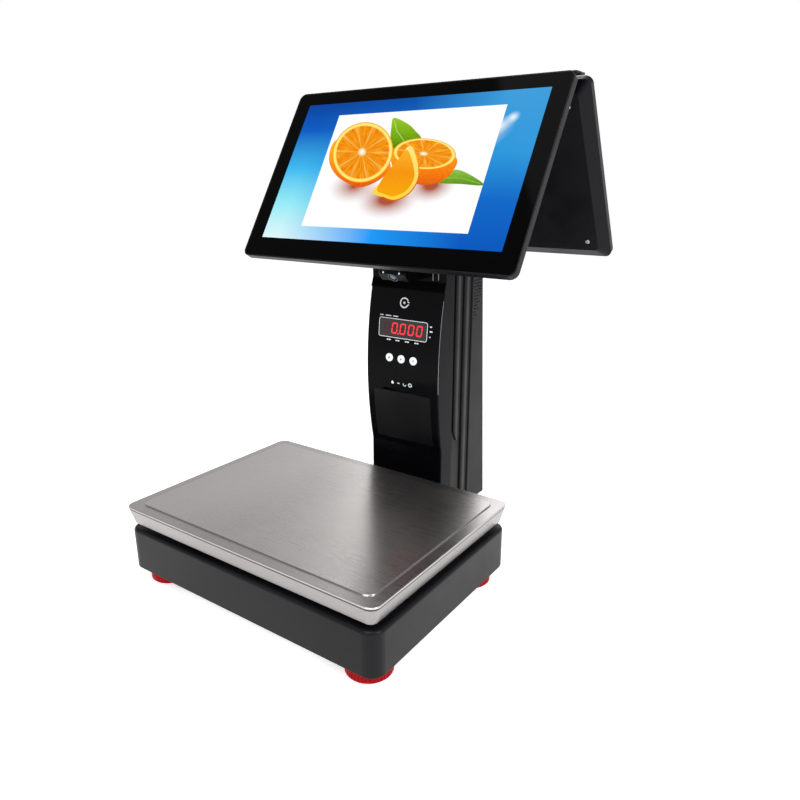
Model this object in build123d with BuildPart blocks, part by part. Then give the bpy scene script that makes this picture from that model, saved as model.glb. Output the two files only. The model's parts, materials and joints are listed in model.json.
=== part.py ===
from build123d import *
import os
from math import asin, atan2, cos, degrees, hypot, pi, radians, sin, sqrt

# Label printing scale: weighing base, console column with label printer, and two displays.
# Millimetres. +X is the operator's right, +Y points to the customer side, +Z is up.
# The origin is on the surface that the scale stands on, below the middle of its overall box.

# ---------------------------------------------------------------- driving dimensions
WALL = 2.5                      # moulded housings
RUN_GAP = 0.05                  # radial clearance of a running fit

# weighing base
PAN_Y = -127.0                  # middle of the pan and the base
PAN_WIDTH = 363.0
PAN_DEPTH = 263.0
PAN_CORNER_R = 11.0
PAN_SEAM_Z = 94.7               # widest line of the pan, where skirt and rim meet
PAN_SKIRT = 19.3
PAN_DRAW_IN = 5.0               # how far the skirt leans in at its lower edge
PAN_RIM = 1.8                   # rim above the widest line
PAN_MARGIN = 13.0               # flat margin around the raised field
PAN_FIELD = 1.4                 # height of the raised field
PAN_SHEET = 1.2
PAN_HEM = 4.0
BASE_WIDTH = 363.0
BASE_DEPTH = 260.0
BASE_CORNER_R = 16.0
BASE_LOW_Z = 19.2
BASE_TOP_Z = 69.0
BASE_WALL = 3.0
CORNER_PAD = 64.0               # moulded pads that close the base under each corner
CHASSIS_LOW_Z = 20.2
CHASSIS_TOP_Z = 22.7
TONGUE_HALF = 45.0              # half width of the chassis tongue under the column
TONGUE_BACK_Y = 172.0

# levelling feet
FOOT_INSET = 31.6
FOOT_R = 24.5
FOOT_FLUTES = 42
KNOB_LOW_Z = 1.6
KNOB_TOP_Z = 15.0
COLLAR_LOW_Z = 15.2
COLLAR_R = 15.5
STUD_R = 4.0
STUD_TOP_Z = 50.0
STUD_PAD_R = 19.0
STUD_PAD = 1.5
BOSS_R = 13.0                   # tall boss above each collar

# load cell and pan support
CELL_LENGTH = 150.0
CELL_WIDTH = 40.0
CELL_LOW_Z = 36.0
CELL_TOP_Z = 58.0
BLOCK = 40.0                    # mounting blocks, square
BLOCK_X = 55.0
SPIDER_LOW_Z = 84.0
SPIDER_TOP_Z = 92.0
PAD_X = 150.0
PAD_DY = 100.0
BOLT_DY = 12.0
BOLT_R = 2.95
BOLT_HOLE_R = 3.1
BOLT_HEAD_R = 5.0
BOLT_HEAD = 5.0
BOLT_SINK = 5.2                 # depth of the counterbores in the spider
BOLT_SOCKET_R = 2.8
STOP_X = 68.0                   # overload stop screws under the free end
STOP_DY = 11.0
STOP_SHANK_R = 3.0
STOP_HEAD_R = 6.0
STOP_HEAD = 4.4
FLEX_DX = 14.0                  # two joined bores make the bar flex
FLEX_R = 8.0
FLEX_SLOT = 4.0
SPIDER_HUB = (190.0, 60.0)
ARM_WIDTH = 26.0
ARM_SLOT = (44.0, 9.0)
ARM_SLOT_R = 120.0              # distance of the lightening slots from the middle
PAD_R = 10.0
VIAL_X = -55.0
VIAL_DY = 95.0                  # from the middle of the base towards the column
VIAL_R = 8.0
VIAL_RIM_R = 10.5

# column
COLUMN_HALF = 56.5
COLUMN_LOW_Z = 13.0
COLUMN_TOP_Z = 352.0
COLUMN_BACK_LOW_Y = 178.0
COLUMN_BACK_TOP_Y = 153.3
SEAM_Y = 80.0                   # front mouldings end and the shell begins
BELLY_Y = 43.6                  # most forward line of the bellied front
BELLY_Z = 214.0
BELLY_R = 500.0
CONSOLE_LOW_Z = 112.0
CONSOLE_TOP_Z = 324.0
HOOD_Y = 60.0
CORNER_FILLET = 2.5
RIB_SINK = 1.8
RIB_TAPER = 17.0
RIB_SPANS = ((84.0, 97.0, 119.0), (105.0, 119.0, COLUMN_LOW_Z))     # front, back, lower end
BAND_Y = 127.0
BRIDGE_W = 96.0                 # cover between the base and the column
BRIDGE_TOP_Z = 64.0
COLUMN_FOOT_R = 12.0
COLUMN_FOOT_X = 32.0
COLUMN_FOOT_Y = (78.0, 160.0)
SPINE_Y = 140.0                 # front face of the spine's web
SPINE_HALF = 48.5
SPINE_FLANGE = 40.0
CABLE_WAY = (44.0, 20.0)        # opening for the display cables
VENT_ROWS = 15
VENT_PLACES = 6
VENT_Y = 131.5
VENT_TOP_Z = 340.0
VENT_PITCH_Y = 3.8
VENT_PITCH_Z = 4.2
VENT_R = 1.15

# console
WINDOW_Z = 274.0
WINDOW_W = 72.0
WINDOW_H = 22.0
WINDOW_THICK = 1.8
KEY_Z = 235.0
KEY_PITCH = 18.8
KEY_R = 5.4
KEY_PROUD = 1.2
KEY_LENGTH = 9.2
KEY_NAMES = ("key_left", "key_middle", "key_right")
DOOR_HALF = 44.6
DOOR_LOW_Z = 120.4
DOOR_TOP_Z = 189.1
DOOR_AXIS_Y = 54.5
DOOR_AXIS_Z = 124.5
DOOR_PIN_R = 2.0
DOOR_LUG = 8.0
DOOR_LUG_THICK = 2.8
SLOT_HALF = 29.3
SLOT_TOP_Z = 193.0
BOARD_Z = 255.0                 # circuit board behind the readout and the keys
BOARD_DEPTH = 14.0
BOARD_W = 96.0
BOARD_H = 78.0
BOARD_THICK = 1.6

# label printer
PLATE_IN = 33.0                 # printer side plates, inner and outer faces
PLATE_OUT = 35.5
PLATEN_Y = 64.5
PLATEN_Z = 184.0
PLATEN_R = 6.0
PLATEN_SHAFT_R = 2.5
GEAR_MODULE = 1.0
PLATEN_TEETH = 28
MOTOR_TEETH = 12
GEAR_DISTANCE = GEAR_MODULE * (PLATEN_TEETH + MOTOR_TEETH) / 2 + 0.25
GEAR_DROP = 35.0                # degrees below level from platen to motor
GEAR_X = 36.5
GEAR_THICK = 5.0
MOTOR_Y = PLATEN_Y + GEAR_DISTANCE * cos(radians(GEAR_DROP))
MOTOR_Z = PLATEN_Z - GEAR_DISTANCE * sin(radians(GEAR_DROP))
MOTOR_R = 13.0
MOTOR_SHAFT_R = 1.5
ROLL_Y = 108.0
ROLL_Z = 140.0
ROLL_R = 27.0
ROLL_HALF = 28.0
CORE_R = 9.5
SPINDLE_R = 6.0
FRAME_LOW_Z = 107.5
FRAME_FRONT_Y = 60.0
FRAME_BACK_Y = 134.0
FRAME_TOP_Z = 209.0
HEAD_LOW_Z = PLATEN_Z + PLATEN_R + 0.05     # thermal head just above the platen
HEAD_W = 60.0
HEAD_DEPTH = 18.0

# electronics and rear sockets
MAIN_BOARD_Z = 225.0
MAIN_BOARD_W = 88.0
MAIN_BOARD_H = 150.0
STANDOFF = 3.5
SUPPLY_Y = 100.0
SUPPLY_W = 84.0
SUPPLY_DEPTH = 76.0
SUPPLY_HEIGHT = 76.0
IO_Z = 68.0                     # middle of the socket plate
IO_W = 80.0
IO_H = 56.0
INLET_U = -22.0                 # mains inlet, across and up from the middle of the plate
INLET_UP = -9.0
INLET_W = 27.0
INLET_H = 46.0
INLET_RECESS = 17.0
PIN_TIP_DEPTH = 6.0
ROCKER_UP = 13.0
ROCKER_DEPTH = 4.0              # axis below the rear face
ROCKER_R = 9.0
ROCKER_HALF = 6.0
ROCKER_PIN_R = 1.5
ROCKER_LEAN = 12.0              # degrees, switched off
SOCKETS = (                     # across, up, width, height, depth
    (8.0, 13.0, 16.0, 13.5, 16.0),
    (27.5, 13.0, 13.0, 12.0, 14.0),
    (8.0, -8.0, 14.5, 7.0, 14.0),
    (27.5, -8.0, 14.5, 7.0, 14.0),
)

# displays
HEAD_Y = 110.5                  # plane that the two displays mirror about
TILT = 31.66                    # degrees that each display leans back
LCD_Y = HEAD_Y - 83.5
LCD_Z = 469.5
DISPLAY_W = 390.0
DISPLAY_H = 239.0
DISPLAY_SHIFT = -4.15           # housing centre below the middle of the picture
DISPLAY_THICK = 15.0
DISPLAY_STRAIGHT = 8.0
DISPLAY_SLOPE = 13.7
DISPLAY_CORNER_R = 9.0
GLASS_RIM = 1.8
GLASS_SINK = 0.3
GLASS_THICK = 2.0
LCD_W = 352.0
LCD_H = 204.0
LCD_THICK = 7.0
COVER_W = 60.0
COVER_H = 113.0
COVER_U = 150.0
HINGE_DY = 10.0                 # hinge axes either side of the head plane
HINGE_Z = 540.0
HINGE_SHAFT_R = 4.0
HINGE_LUG_R = 7.0
HINGE_LUG = 8.0
HINGE_LUG_X = 31.0              # inner face of each lug
HINGE_PLATE = (120.0, 40.0, 3.0)
HINGE_PLATE_UP = 80.0
SLOT_ROWS_UP = (-70.0, -84.0)   # cooling slots in the back of a display
SLOTS_IN_ROW = 22
POST_HALF = 30.0
POST_DEPTH = 32.0
POST_LOW_Z = 335.0
POST_TOP_Z = 528.0
POST_COVER_TOP_Z = 505.0
CHEEK_R = 6.5
CAP_Z = 566.5
CAP_TOP_Z = 568.8
CAP_HALF = 190.0
CAP_DEPTH = 24.4
CAP_LID_DEPTH = 28.0            # thin lid, clear of both displays when they tilt
CAP_LID = 0.8
CAP_LID_HALF = 186.0
CAP_LID_R = 8.0
POST_COVER_W = 72.0
POST_COVER_DEPTH = 50.0
CHEEK = 3.0
CHEEK_LOW_Z = 505.0
POD_HALF = 20.0
POD_FRONT_Y = 22.0
POD_LOW_Z = 338.0
POD_TOP_Z = 350.0
LENS_CENTRE = (0, 26.5, 342.5)
LENS_FACING = (0, -1, -1)
LENS_R = 5.0

FOOT_X = BASE_WIDTH / 2 - FOOT_INSET
FOOT_DY = BASE_DEPTH / 2 - FOOT_INSET
FEET = {
    "front_left": (-FOOT_X, PAN_Y - FOOT_DY),
    "front_right": (FOOT_X, PAN_Y - FOOT_DY),
    "rear_left": (-FOOT_X, PAN_Y + FOOT_DY),
    "rear_right": (FOOT_X, PAN_Y + FOOT_DY),
}
BACK_SLOPE = (COLUMN_BACK_LOW_Y - COLUMN_BACK_TOP_Y) / (COLUMN_TOP_Z - COLUMN_LOW_Z)

os.makedirs("parts", exist_ok=True)


def save(piece, name):
    """Label a finished sub-part and write it as one STEP file."""
    piece.part.label = name
    export_step(piece.part, f"parts/{name}.step")


def front_y(z):
    """Depth of the column's bellied front face at a height."""
    return BELLY_Y + BELLY_R - sqrt(BELLY_R**2 - (z - BELLY_Z) ** 2)


def back_y(z):
    """Depth of the column's leaning rear face at a height."""
    return COLUMN_BACK_LOW_Y - (z - COLUMN_LOW_Z) * BACK_SLOPE


def console_plane(z, depth=0.0):
    """Plane on the console face at a height, facing the operator and sunk by a depth."""
    lean = asin((z - BELLY_Z) / BELLY_R)
    normal = Vector(0, -cos(lean), sin(lean))
    return Plane(Vector(0, front_y(z), z) - normal * depth, x_dir=(1, 0, 0), z_dir=normal)


def back_plane(z, depth=0.0):
    """Plane on the column's rear face at a height, facing away from it and sunk by a depth."""
    normal = Vector(0, 1, BACK_SLOPE).normalized()
    return Plane(Vector(0, back_y(z), z) - normal * depth, x_dir=(-1, 0, 0), z_dir=normal)


def level_plane(y, z):
    """Horizontal plane with its origin on the centre line."""
    return Plane((0, y, z))


# ================================================================ weighing base
def pan_form(inset, drop):
    """The pan's outer form, shrunk by the sheet thickness to give its inside."""
    with BuildPart() as form:
        with BuildSketch(level_plane(PAN_Y, PAN_SEAM_Z - PAN_SKIRT)):
            RectangleRounded(
                PAN_WIDTH - 2 * (PAN_DRAW_IN + inset), PAN_DEPTH - 2 * (PAN_DRAW_IN + inset),
                PAN_CORNER_R - PAN_DRAW_IN / 2,
            )
        with BuildSketch(level_plane(PAN_Y, PAN_SEAM_Z)):
            RectangleRounded(PAN_WIDTH - 2 * inset, PAN_DEPTH - 2 * inset, PAN_CORNER_R)
        loft(ruled=True)
        with BuildSketch(level_plane(PAN_Y, PAN_SEAM_Z)):
            RectangleRounded(PAN_WIDTH - 2 * inset, PAN_DEPTH - 2 * inset, PAN_CORNER_R)
        extrude(amount=PAN_RIM - drop)
        fillet(form.faces().sort_by(Axis.Z)[-1].edges(), (PAN_RIM - drop) * 0.6)
        with BuildSketch(level_plane(PAN_Y, PAN_SEAM_Z)):
            RectangleRounded(
                PAN_WIDTH - 2 * (PAN_MARGIN + inset), PAN_DEPTH - 2 * (PAN_MARGIN + inset), PAN_CORNER_R
            )
        extrude(amount=PAN_RIM + PAN_FIELD - drop)
    return form.part


with BuildPart() as weighing_pan:
    add(pan_form(0, 0))
    chamfer(weighing_pan.faces().sort_by(Axis.Z)[-1].edges(), PAN_FIELD * 0.7)
    add(pan_form(PAN_SHEET, PAN_SHEET), mode=Mode.SUBTRACT)
    # hem turned inwards around the lower edge
    with BuildSketch(level_plane(PAN_Y, PAN_SEAM_Z - PAN_SKIRT)):
        RectangleRounded(PAN_WIDTH - 2 * PAN_DRAW_IN, PAN_DEPTH - 2 * PAN_DRAW_IN,
                         PAN_CORNER_R - PAN_DRAW_IN / 2)
        RectangleRounded(PAN_WIDTH - 2 * (PAN_DRAW_IN + PAN_HEM), PAN_DEPTH - 2 * (PAN_DRAW_IN + PAN_HEM),
                         PAN_CORNER_R - PAN_DRAW_IN / 2, mode=Mode.SUBTRACT)
    extrude(amount=PAN_SHEET)
save(weighing_pan, "weighing_pan")

with BuildPart() as pan_spider:
    arm_length = 2 * hypot(PAD_X, PAD_DY)
    arm_angle = degrees(atan2(PAD_DY, PAD_X))
    with BuildSketch(level_plane(PAN_Y, SPIDER_LOW_Z)):
        RectangleRounded(*SPIDER_HUB, 6)
        SlotCenterToCenter(arm_length, ARM_WIDTH, rotation=arm_angle)
        SlotCenterToCenter(arm_length, ARM_WIDTH, rotation=-arm_angle)
    extrude(amount=SPIDER_TOP_Z - SPIDER_LOW_Z)
    # counterbored holes for the two bolts into the load cell
    with Locations((BLOCK_X, PAN_Y - BOLT_DY, SPIDER_TOP_Z), (BLOCK_X, PAN_Y + BOLT_DY, SPIDER_TOP_Z)):
        CounterBoreHole(radius=BOLT_HOLE_R, counter_bore_radius=5.6, counter_bore_depth=BOLT_SINK)
    # lightening slots in the arms
    with BuildSketch(level_plane(PAN_Y, SPIDER_LOW_Z)):
        for angle in (arm_angle, -arm_angle, 180 + arm_angle, 180 - arm_angle):
            with Locations((ARM_SLOT_R * cos(radians(angle)), ARM_SLOT_R * sin(radians(angle)))):
                SlotCenterToCenter(*ARM_SLOT, rotation=angle)
    extrude(amount=SPIDER_TOP_Z - SPIDER_LOW_Z, mode=Mode.SUBTRACT)
save(pan_spider, "pan_spider")

with BuildPart() as pan_pads:
    with BuildSketch(level_plane(PAN_Y, SPIDER_TOP_Z)):
        with GridLocations(2 * PAD_X, 2 * PAD_DY, 2, 2):
            Circle(PAD_R)
    extrude(amount=PAN_SEAM_Z + PAN_RIM + PAN_FIELD - PAN_SHEET - SPIDER_TOP_Z)
save(pan_pads, "pan_pads")

with BuildPart() as load_cell:
    with BuildSketch(level_plane(PAN_Y, CELL_LOW_Z)):
        Rectangle(CELL_LENGTH, CELL_WIDTH)
    extrude(amount=CELL_TOP_Z - CELL_LOW_Z)
    # binocular opening that lets the middle of the bar flex
    cell_mid_z = (CELL_LOW_Z + CELL_TOP_Z) / 2
    with BuildSketch(Plane((0, PAN_Y, cell_mid_z), x_dir=(1, 0, 0), z_dir=(0, -1, 0))):
        with Locations((-FLEX_DX, 0), (FLEX_DX, 0)):
            Circle(FLEX_R)
        Rectangle(2 * FLEX_DX, FLEX_SLOT)
    extrude(amount=CELL_WIDTH, both=True, mode=Mode.SUBTRACT)
    with BuildSketch(level_plane(PAN_Y, CELL_LOW_Z)):
        with GridLocations(2 * BLOCK_X, 2 * BOLT_DY, 2, 2):
            Circle(BOLT_HOLE_R)
    extrude(amount=CELL_TOP_Z - CELL_LOW_Z, mode=Mode.SUBTRACT)
save(load_cell, "load_cell")

with BuildPart() as load_cell_blocks:
    # fixed end down to the chassis, free end up to the spider
    for block_x, low_z, high_z in (
        (-BLOCK_X, CHASSIS_TOP_Z, CELL_LOW_Z), (BLOCK_X, CELL_TOP_Z, SPIDER_LOW_Z)
    ):
        with BuildSketch(level_plane(PAN_Y, low_z)):
            with Locations((block_x, 0)):
                Rectangle(BLOCK, BLOCK)
            with Locations((block_x, BOLT_DY), (block_x, -BOLT_DY)):
                Circle(BOLT_HOLE_R, mode=Mode.SUBTRACT)
        extrude(amount=high_z - low_z)
save(load_cell_blocks, "load_cell_blocks")

with BuildPart() as load_cell_bolts:
    # socket head bolts: two hold the spider, two hold the fixed end to the chassis
    for bolt_x, head_z, shank_low_z in (
        (BLOCK_X, SPIDER_TOP_Z - BOLT_SINK, CELL_LOW_Z + 4), (-BLOCK_X, CELL_TOP_Z, CHASSIS_TOP_Z + 0.5)
    ):
        spots = ((bolt_x, BOLT_DY), (bolt_x, -BOLT_DY))
        with BuildSketch(level_plane(PAN_Y, shank_low_z)):
            with Locations(*spots):
                Circle(BOLT_R)
        extrude(amount=head_z - shank_low_z)
        with BuildSketch(level_plane(PAN_Y, head_z)):
            with Locations(*spots):
                Circle(BOLT_HEAD_R)
        extrude(amount=BOLT_HEAD)
        with BuildSketch(level_plane(PAN_Y, head_z + BOLT_HEAD)):
            with Locations(*spots):
                RegularPolygon(BOLT_SOCKET_R, 6)
        extrude(amount=-0.6 * BOLT_HEAD, mode=Mode.SUBTRACT)
    # stop screws that catch the free end just before it overbends
    stop_head_z = CELL_LOW_Z - 0.6 - STOP_HEAD
    for radius, low_z, height in (
        (STOP_SHANK_R, CHASSIS_TOP_Z, stop_head_z - CHASSIS_TOP_Z), (STOP_HEAD_R, stop_head_z, STOP_HEAD)
    ):
        with BuildSketch(level_plane(PAN_Y, low_z)):
            with Locations((STOP_X, STOP_DY), (STOP_X, -STOP_DY)):
                Circle(radius)
        extrude(amount=height)
save(load_cell_bolts, "load_cell_bolts")

with BuildPart() as base_housing:
    with BuildSketch(level_plane(PAN_Y, BASE_LOW_Z)):
        RectangleRounded(BASE_WIDTH, BASE_DEPTH, BASE_CORNER_R)
    extrude(amount=BASE_TOP_Z - BASE_LOW_Z)
    fillet(base_housing.faces().sort_by(Axis.Z)[-1].edges(), 4)
    with BuildSketch(level_plane(PAN_Y, BASE_LOW_Z)):
        RectangleRounded(BASE_WIDTH - 2 * BASE_WALL, BASE_DEPTH - 2 * BASE_WALL, BASE_CORNER_R - BASE_WALL)
    extrude(amount=BASE_TOP_Z - BASE_LOW_Z - BASE_WALL, mode=Mode.SUBTRACT)
    # corner pads, with a collar and a tall boss for each foot stud
    pad_inset = BASE_WALL + CORNER_PAD / 2
    with BuildSketch(level_plane(PAN_Y, BASE_LOW_Z)):
        with GridLocations(BASE_WIDTH - 2 * pad_inset, BASE_DEPTH - 2 * pad_inset, 2, 2):
            RectangleRounded(CORNER_PAD, CORNER_PAD, BASE_CORNER_R - BASE_WALL)
    extrude(amount=BASE_WALL)
    with BuildSketch(level_plane(PAN_Y, COLLAR_LOW_Z)):
        with GridLocations(2 * FOOT_X, 2 * FOOT_DY, 2, 2):
            Circle(COLLAR_R)
    extrude(amount=BASE_LOW_Z - COLLAR_LOW_Z)
    with BuildSketch(level_plane(PAN_Y, BASE_LOW_Z)):
        with GridLocations(2 * FOOT_X, 2 * FOOT_DY, 2, 2):
            Circle(BOSS_R)
    extrude(amount=BASE_TOP_Z - BASE_WALL - BASE_LOW_Z)
    collar_roots = base_housing.edges().filter_by(GeomType.CIRCLE).filter_by_position(
        Axis.Z, BASE_LOW_Z - 0.01, BASE_LOW_Z + 0.01
    )
    fillet([edge for edge in collar_roots if abs(edge.radius - COLLAR_R) < 0.01], 3.6)
    with BuildSketch(level_plane(PAN_Y, COLLAR_LOW_Z)):
        with GridLocations(2 * FOOT_X, 2 * FOOT_DY, 2, 2):
            Circle(STUD_R + RUN_GAP)
    extrude(amount=STUD_TOP_Z + 4 - COLLAR_LOW_Z, mode=Mode.SUBTRACT)
    # opening in the top for the load cell block, hole for the level vial, way out for the chassis tongue
    with BuildSketch(level_plane(PAN_Y, BASE_TOP_Z - BASE_WALL)):
        with Locations((BLOCK_X, 0)):
            RectangleRounded(BLOCK + 12, BLOCK + 12, 4)
        with Locations((VIAL_X, VIAL_DY)):
            Circle(VIAL_R + 0.1)
    extrude(amount=BASE_WALL, mode=Mode.SUBTRACT)
    with BuildSketch(level_plane(PAN_Y + BASE_DEPTH / 2, BASE_LOW_Z)):
        Rectangle(2 * TONGUE_HALF + 1, 4 * BASE_WALL)
    extrude(amount=10, mode=Mode.SUBTRACT)
save(base_housing, "base_housing")

with BuildPart() as level_vial:
    vial_y = PAN_Y + VIAL_DY
    with BuildSketch(Plane((VIAL_X, vial_y, BASE_TOP_Z - 8))):
        Circle(VIAL_R)
    extrude(amount=8)
    with BuildSketch(Plane((VIAL_X, vial_y, BASE_TOP_Z))):
        Circle(VIAL_RIM_R)
    extrude(amount=1.4)
    fillet(level_vial.faces().sort_by(Axis.Z)[-1].edges(), 0.6)
save(level_vial, "level_vial")

with BuildPart() as base_chassis:
    open_width = BASE_WIDTH - 2 * (BASE_WALL + CORNER_PAD + 1)
    open_depth = BASE_DEPTH - 2 * (BASE_WALL + CORNER_PAD + 1)
    with BuildSketch(level_plane(PAN_Y, CHASSIS_LOW_Z)):
        Rectangle(open_width, BASE_DEPTH - 2 * BASE_WALL - 0.4)
        Rectangle(BASE_WIDTH - 2 * BASE_WALL - 0.4, open_depth)
        with Locations((0, (TONGUE_BACK_Y - PAN_Y) / 2)):
            Rectangle(2 * TONGUE_HALF, TONGUE_BACK_Y - PAN_Y)
    extrude(amount=CHASSIS_TOP_Z - CHASSIS_LOW_Z)
save(base_chassis, "base_chassis")

for corner, (foot_x, foot_y) in FEET.items():
    with BuildPart() as foot_stud:
        with BuildSketch(Plane((foot_x, foot_y, 0))):
            Circle(STUD_PAD_R)
        extrude(amount=STUD_PAD)
        with BuildSketch(Plane((foot_x, foot_y, STUD_PAD))):
            Circle(STUD_R)
        extrude(amount=STUD_TOP_Z - STUD_PAD)
        chamfer(foot_stud.faces().sort_by(Axis.Z)[-1].edges(), 0.8)
    save(foot_stud, f"foot_stud_{corner}")

    with BuildPart() as foot_knob:
        with BuildSketch(Plane((foot_x, foot_y, KNOB_LOW_Z))):
            Circle(FOOT_R)
            Circle(STUD_R + RUN_GAP, mode=Mode.SUBTRACT)
        extrude(amount=KNOB_TOP_Z - KNOB_LOW_Z)
        outer_rims = foot_knob.edges().filter_by(GeomType.CIRCLE).sort_by(SortBy.RADIUS)[-2:]
        chamfer(outer_rims, 1.2)
        with BuildSketch(Plane((foot_x, foot_y, KNOB_LOW_Z))):
            with PolarLocations(FOOT_R + 0.4, FOOT_FLUTES):
                Circle(1.15)
        extrude(amount=KNOB_TOP_Z - KNOB_LOW_Z, mode=Mode.SUBTRACT)
    save(foot_knob, f"foot_knob_{corner}")

with BuildPart() as bridge_cover:
    bridge_front_y = PAN_Y + BASE_DEPTH / 2
    bridge_back_y = front_y(CONSOLE_LOW_Z)
    bridge_mid_y = (bridge_front_y + bridge_back_y) / 2
    bridge_length = bridge_back_y - bridge_front_y
    with BuildSketch(level_plane(bridge_mid_y, CHASSIS_TOP_Z)):
        Rectangle(BRIDGE_W, bridge_length)
    extrude(amount=BRIDGE_TOP_Z - CHASSIS_TOP_Z)
    fillet(bridge_cover.faces().sort_by(Axis.Z)[-1].edges().filter_by(Axis.Y), 5)
    with BuildSketch(level_plane(bridge_mid_y, CHASSIS_TOP_Z)):
        Rectangle(BRIDGE_W - 2 * WALL, bridge_length)
    extrude(amount=BRIDGE_TOP_Z - CHASSIS_TOP_Z - WALL, mode=Mode.SUBTRACT)
save(bridge_cover, "bridge_cover")

with BuildPart() as column_feet:
    foot_spots = [(x, y) for x in (-COLUMN_FOOT_X, COLUMN_FOOT_X) for y in COLUMN_FOOT_Y]
    with BuildSketch(Plane.XY):
        with Locations(*foot_spots):
            Circle(COLUMN_FOOT_R)
    extrude(amount=CHASSIS_LOW_Z)
    chamfer(column_feet.faces().sort_by(Axis.Z)[:4].edges(), 1.5)
save(column_feet, "column_feet")


# ================================================================ column
def cover_profile(inset, low_z, high_z, back):
    """Side profile of the bellied front, set in from the outer face by a wall thickness."""
    middle_z = (low_z + high_z) / 2
    with BuildLine() as outline:
        belly = ThreePointArc(
            (front_y(low_z) + inset, low_z),
            (front_y(middle_z) + inset, middle_z),
            (front_y(high_z) + inset, high_z),
        )
        Polyline(belly @ 1, (back, high_z), (back, low_z), belly @ 0)
    make_face(outline.edges())


with BuildPart() as console_panel:
    with BuildSketch(Plane.YZ):
        cover_profile(0, CONSOLE_LOW_Z, CONSOLE_TOP_Z, SEAM_Y)
    extrude(amount=COLUMN_HALF, both=True)
    fillet(console_panel.edges().filter_by(GeomType.CIRCLE), CORNER_FILLET)
    with BuildSketch(Plane.YZ):
        cover_profile(WALL, CONSOLE_LOW_Z, CONSOLE_TOP_Z - WALL, SEAM_Y + 1)
    extrude(amount=COLUMN_HALF - WALL, both=True, mode=Mode.SUBTRACT)
    # readout window, key holes
    with BuildSketch(console_plane(WINDOW_Z)):
        RectangleRounded(WINDOW_W + 0.2, WINDOW_H + 0.2, 2.1)
    extrude(amount=6, both=True, mode=Mode.SUBTRACT)
    with BuildSketch(console_plane(KEY_Z)):
        with GridLocations(KEY_PITCH, 0, 3, 1):
            Circle(KEY_R + 0.08)
    extrude(amount=6, both=True, mode=Mode.SUBTRACT)
    # printer door opening with the label slot above it
    with BuildSketch(Plane((0, SEAM_Y - 20, 0), x_dir=(1, 0, 0), z_dir=(0, -1, 0))):
        with Locations((0, (DOOR_LOW_Z + DOOR_TOP_Z - 0.6) / 2)):
            Rectangle(2 * DOOR_HALF + 0.8, DOOR_TOP_Z - DOOR_LOW_Z + 1.4)
        with Locations((0, (DOOR_TOP_Z + SLOT_TOP_Z) / 2)):
            Rectangle(2 * SLOT_HALF, SLOT_TOP_Z - DOOR_TOP_Z)
    extrude(amount=30, mode=Mode.SUBTRACT)
    # lugs that carry the door's pins
    for lug_x in (DOOR_HALF + 0.6, -DOOR_HALF - 0.6 - DOOR_LUG_THICK):
        with BuildSketch(Plane.YZ.offset(lug_x)):
            with Locations((DOOR_AXIS_Y + 2, DOOR_AXIS_Z)):
                Rectangle(DOOR_LUG, DOOR_LUG)
        extrude(amount=DOOR_LUG_THICK)
    with BuildSketch(Plane.YZ):
        with Locations((DOOR_AXIS_Y, DOOR_AXIS_Z)):
            Circle(DOOR_PIN_R + RUN_GAP)
    extrude(amount=DOOR_HALF + 0.6 + DOOR_LUG_THICK, both=True, mode=Mode.SUBTRACT)
save(console_panel, "console_panel")

with BuildPart() as lower_cover:
    cover_front_y = front_y(CONSOLE_LOW_Z)
    cover_depth = SEAM_Y - cover_front_y
    with BuildSketch(level_plane(SEAM_Y - cover_depth / 2, COLUMN_LOW_Z)):
        Rectangle(2 * COLUMN_HALF, cover_depth)
    extrude(amount=CONSOLE_LOW_Z - COLUMN_LOW_Z)
    fillet(lower_cover.edges().filter_by(Axis.Z).group_by(Axis.Y)[0], CORNER_FILLET)
    with BuildSketch(level_plane(SEAM_Y - cover_depth / 2 + WALL, COLUMN_LOW_Z)):
        Rectangle(2 * (COLUMN_HALF - WALL), cover_depth)
    extrude(amount=CONSOLE_LOW_Z - COLUMN_LOW_Z, mode=Mode.SUBTRACT)
    with BuildSketch(level_plane(cover_front_y, COLUMN_LOW_Z)):
        Rectangle(2 * TONGUE_HALF + 1, 4 * WALL)
    extrude(amount=BRIDGE_TOP_Z - 3 - COLUMN_LOW_Z, mode=Mode.SUBTRACT)
save(lower_cover, "lower_cover")

with BuildPart() as neck_hood:
    with BuildSketch(Plane.YZ):
        Polygon((front_y(CONSOLE_TOP_Z), CONSOLE_TOP_Z), (HOOD_Y, CONSOLE_TOP_Z + 12),
                (HOOD_Y, COLUMN_TOP_Z), (SEAM_Y, COLUMN_TOP_Z), (SEAM_Y, CONSOLE_TOP_Z), align=None)
    extrude(amount=COLUMN_HALF, both=True)
    fillet(neck_hood.edges().filter_by(Axis.X).sort_by(Axis.Z)[-2], 4)
    with BuildSketch(Plane.YZ):
        Polygon((front_y(CONSOLE_TOP_Z) + WALL, CONSOLE_TOP_Z), (HOOD_Y + WALL, CONSOLE_TOP_Z + 12),
                (HOOD_Y + WALL, COLUMN_TOP_Z - 6), (HOOD_Y + WALL + 4, COLUMN_TOP_Z - WALL),
                (SEAM_Y + 1, COLUMN_TOP_Z - WALL), (SEAM_Y + 1, CONSOLE_TOP_Z), align=None)
    extrude(amount=COLUMN_HALF - WALL, both=True, mode=Mode.SUBTRACT)
save(neck_hood, "neck_hood")


def shell_outline(front, inset, low_z, high_z):
    """Side outline of the column shell from a depth back to its leaning rear face."""
    Polygon((front, low_z), (back_y(low_z) - inset, low_z), (back_y(high_z) - inset, high_z),
            (front, high_z), align=None)


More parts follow.
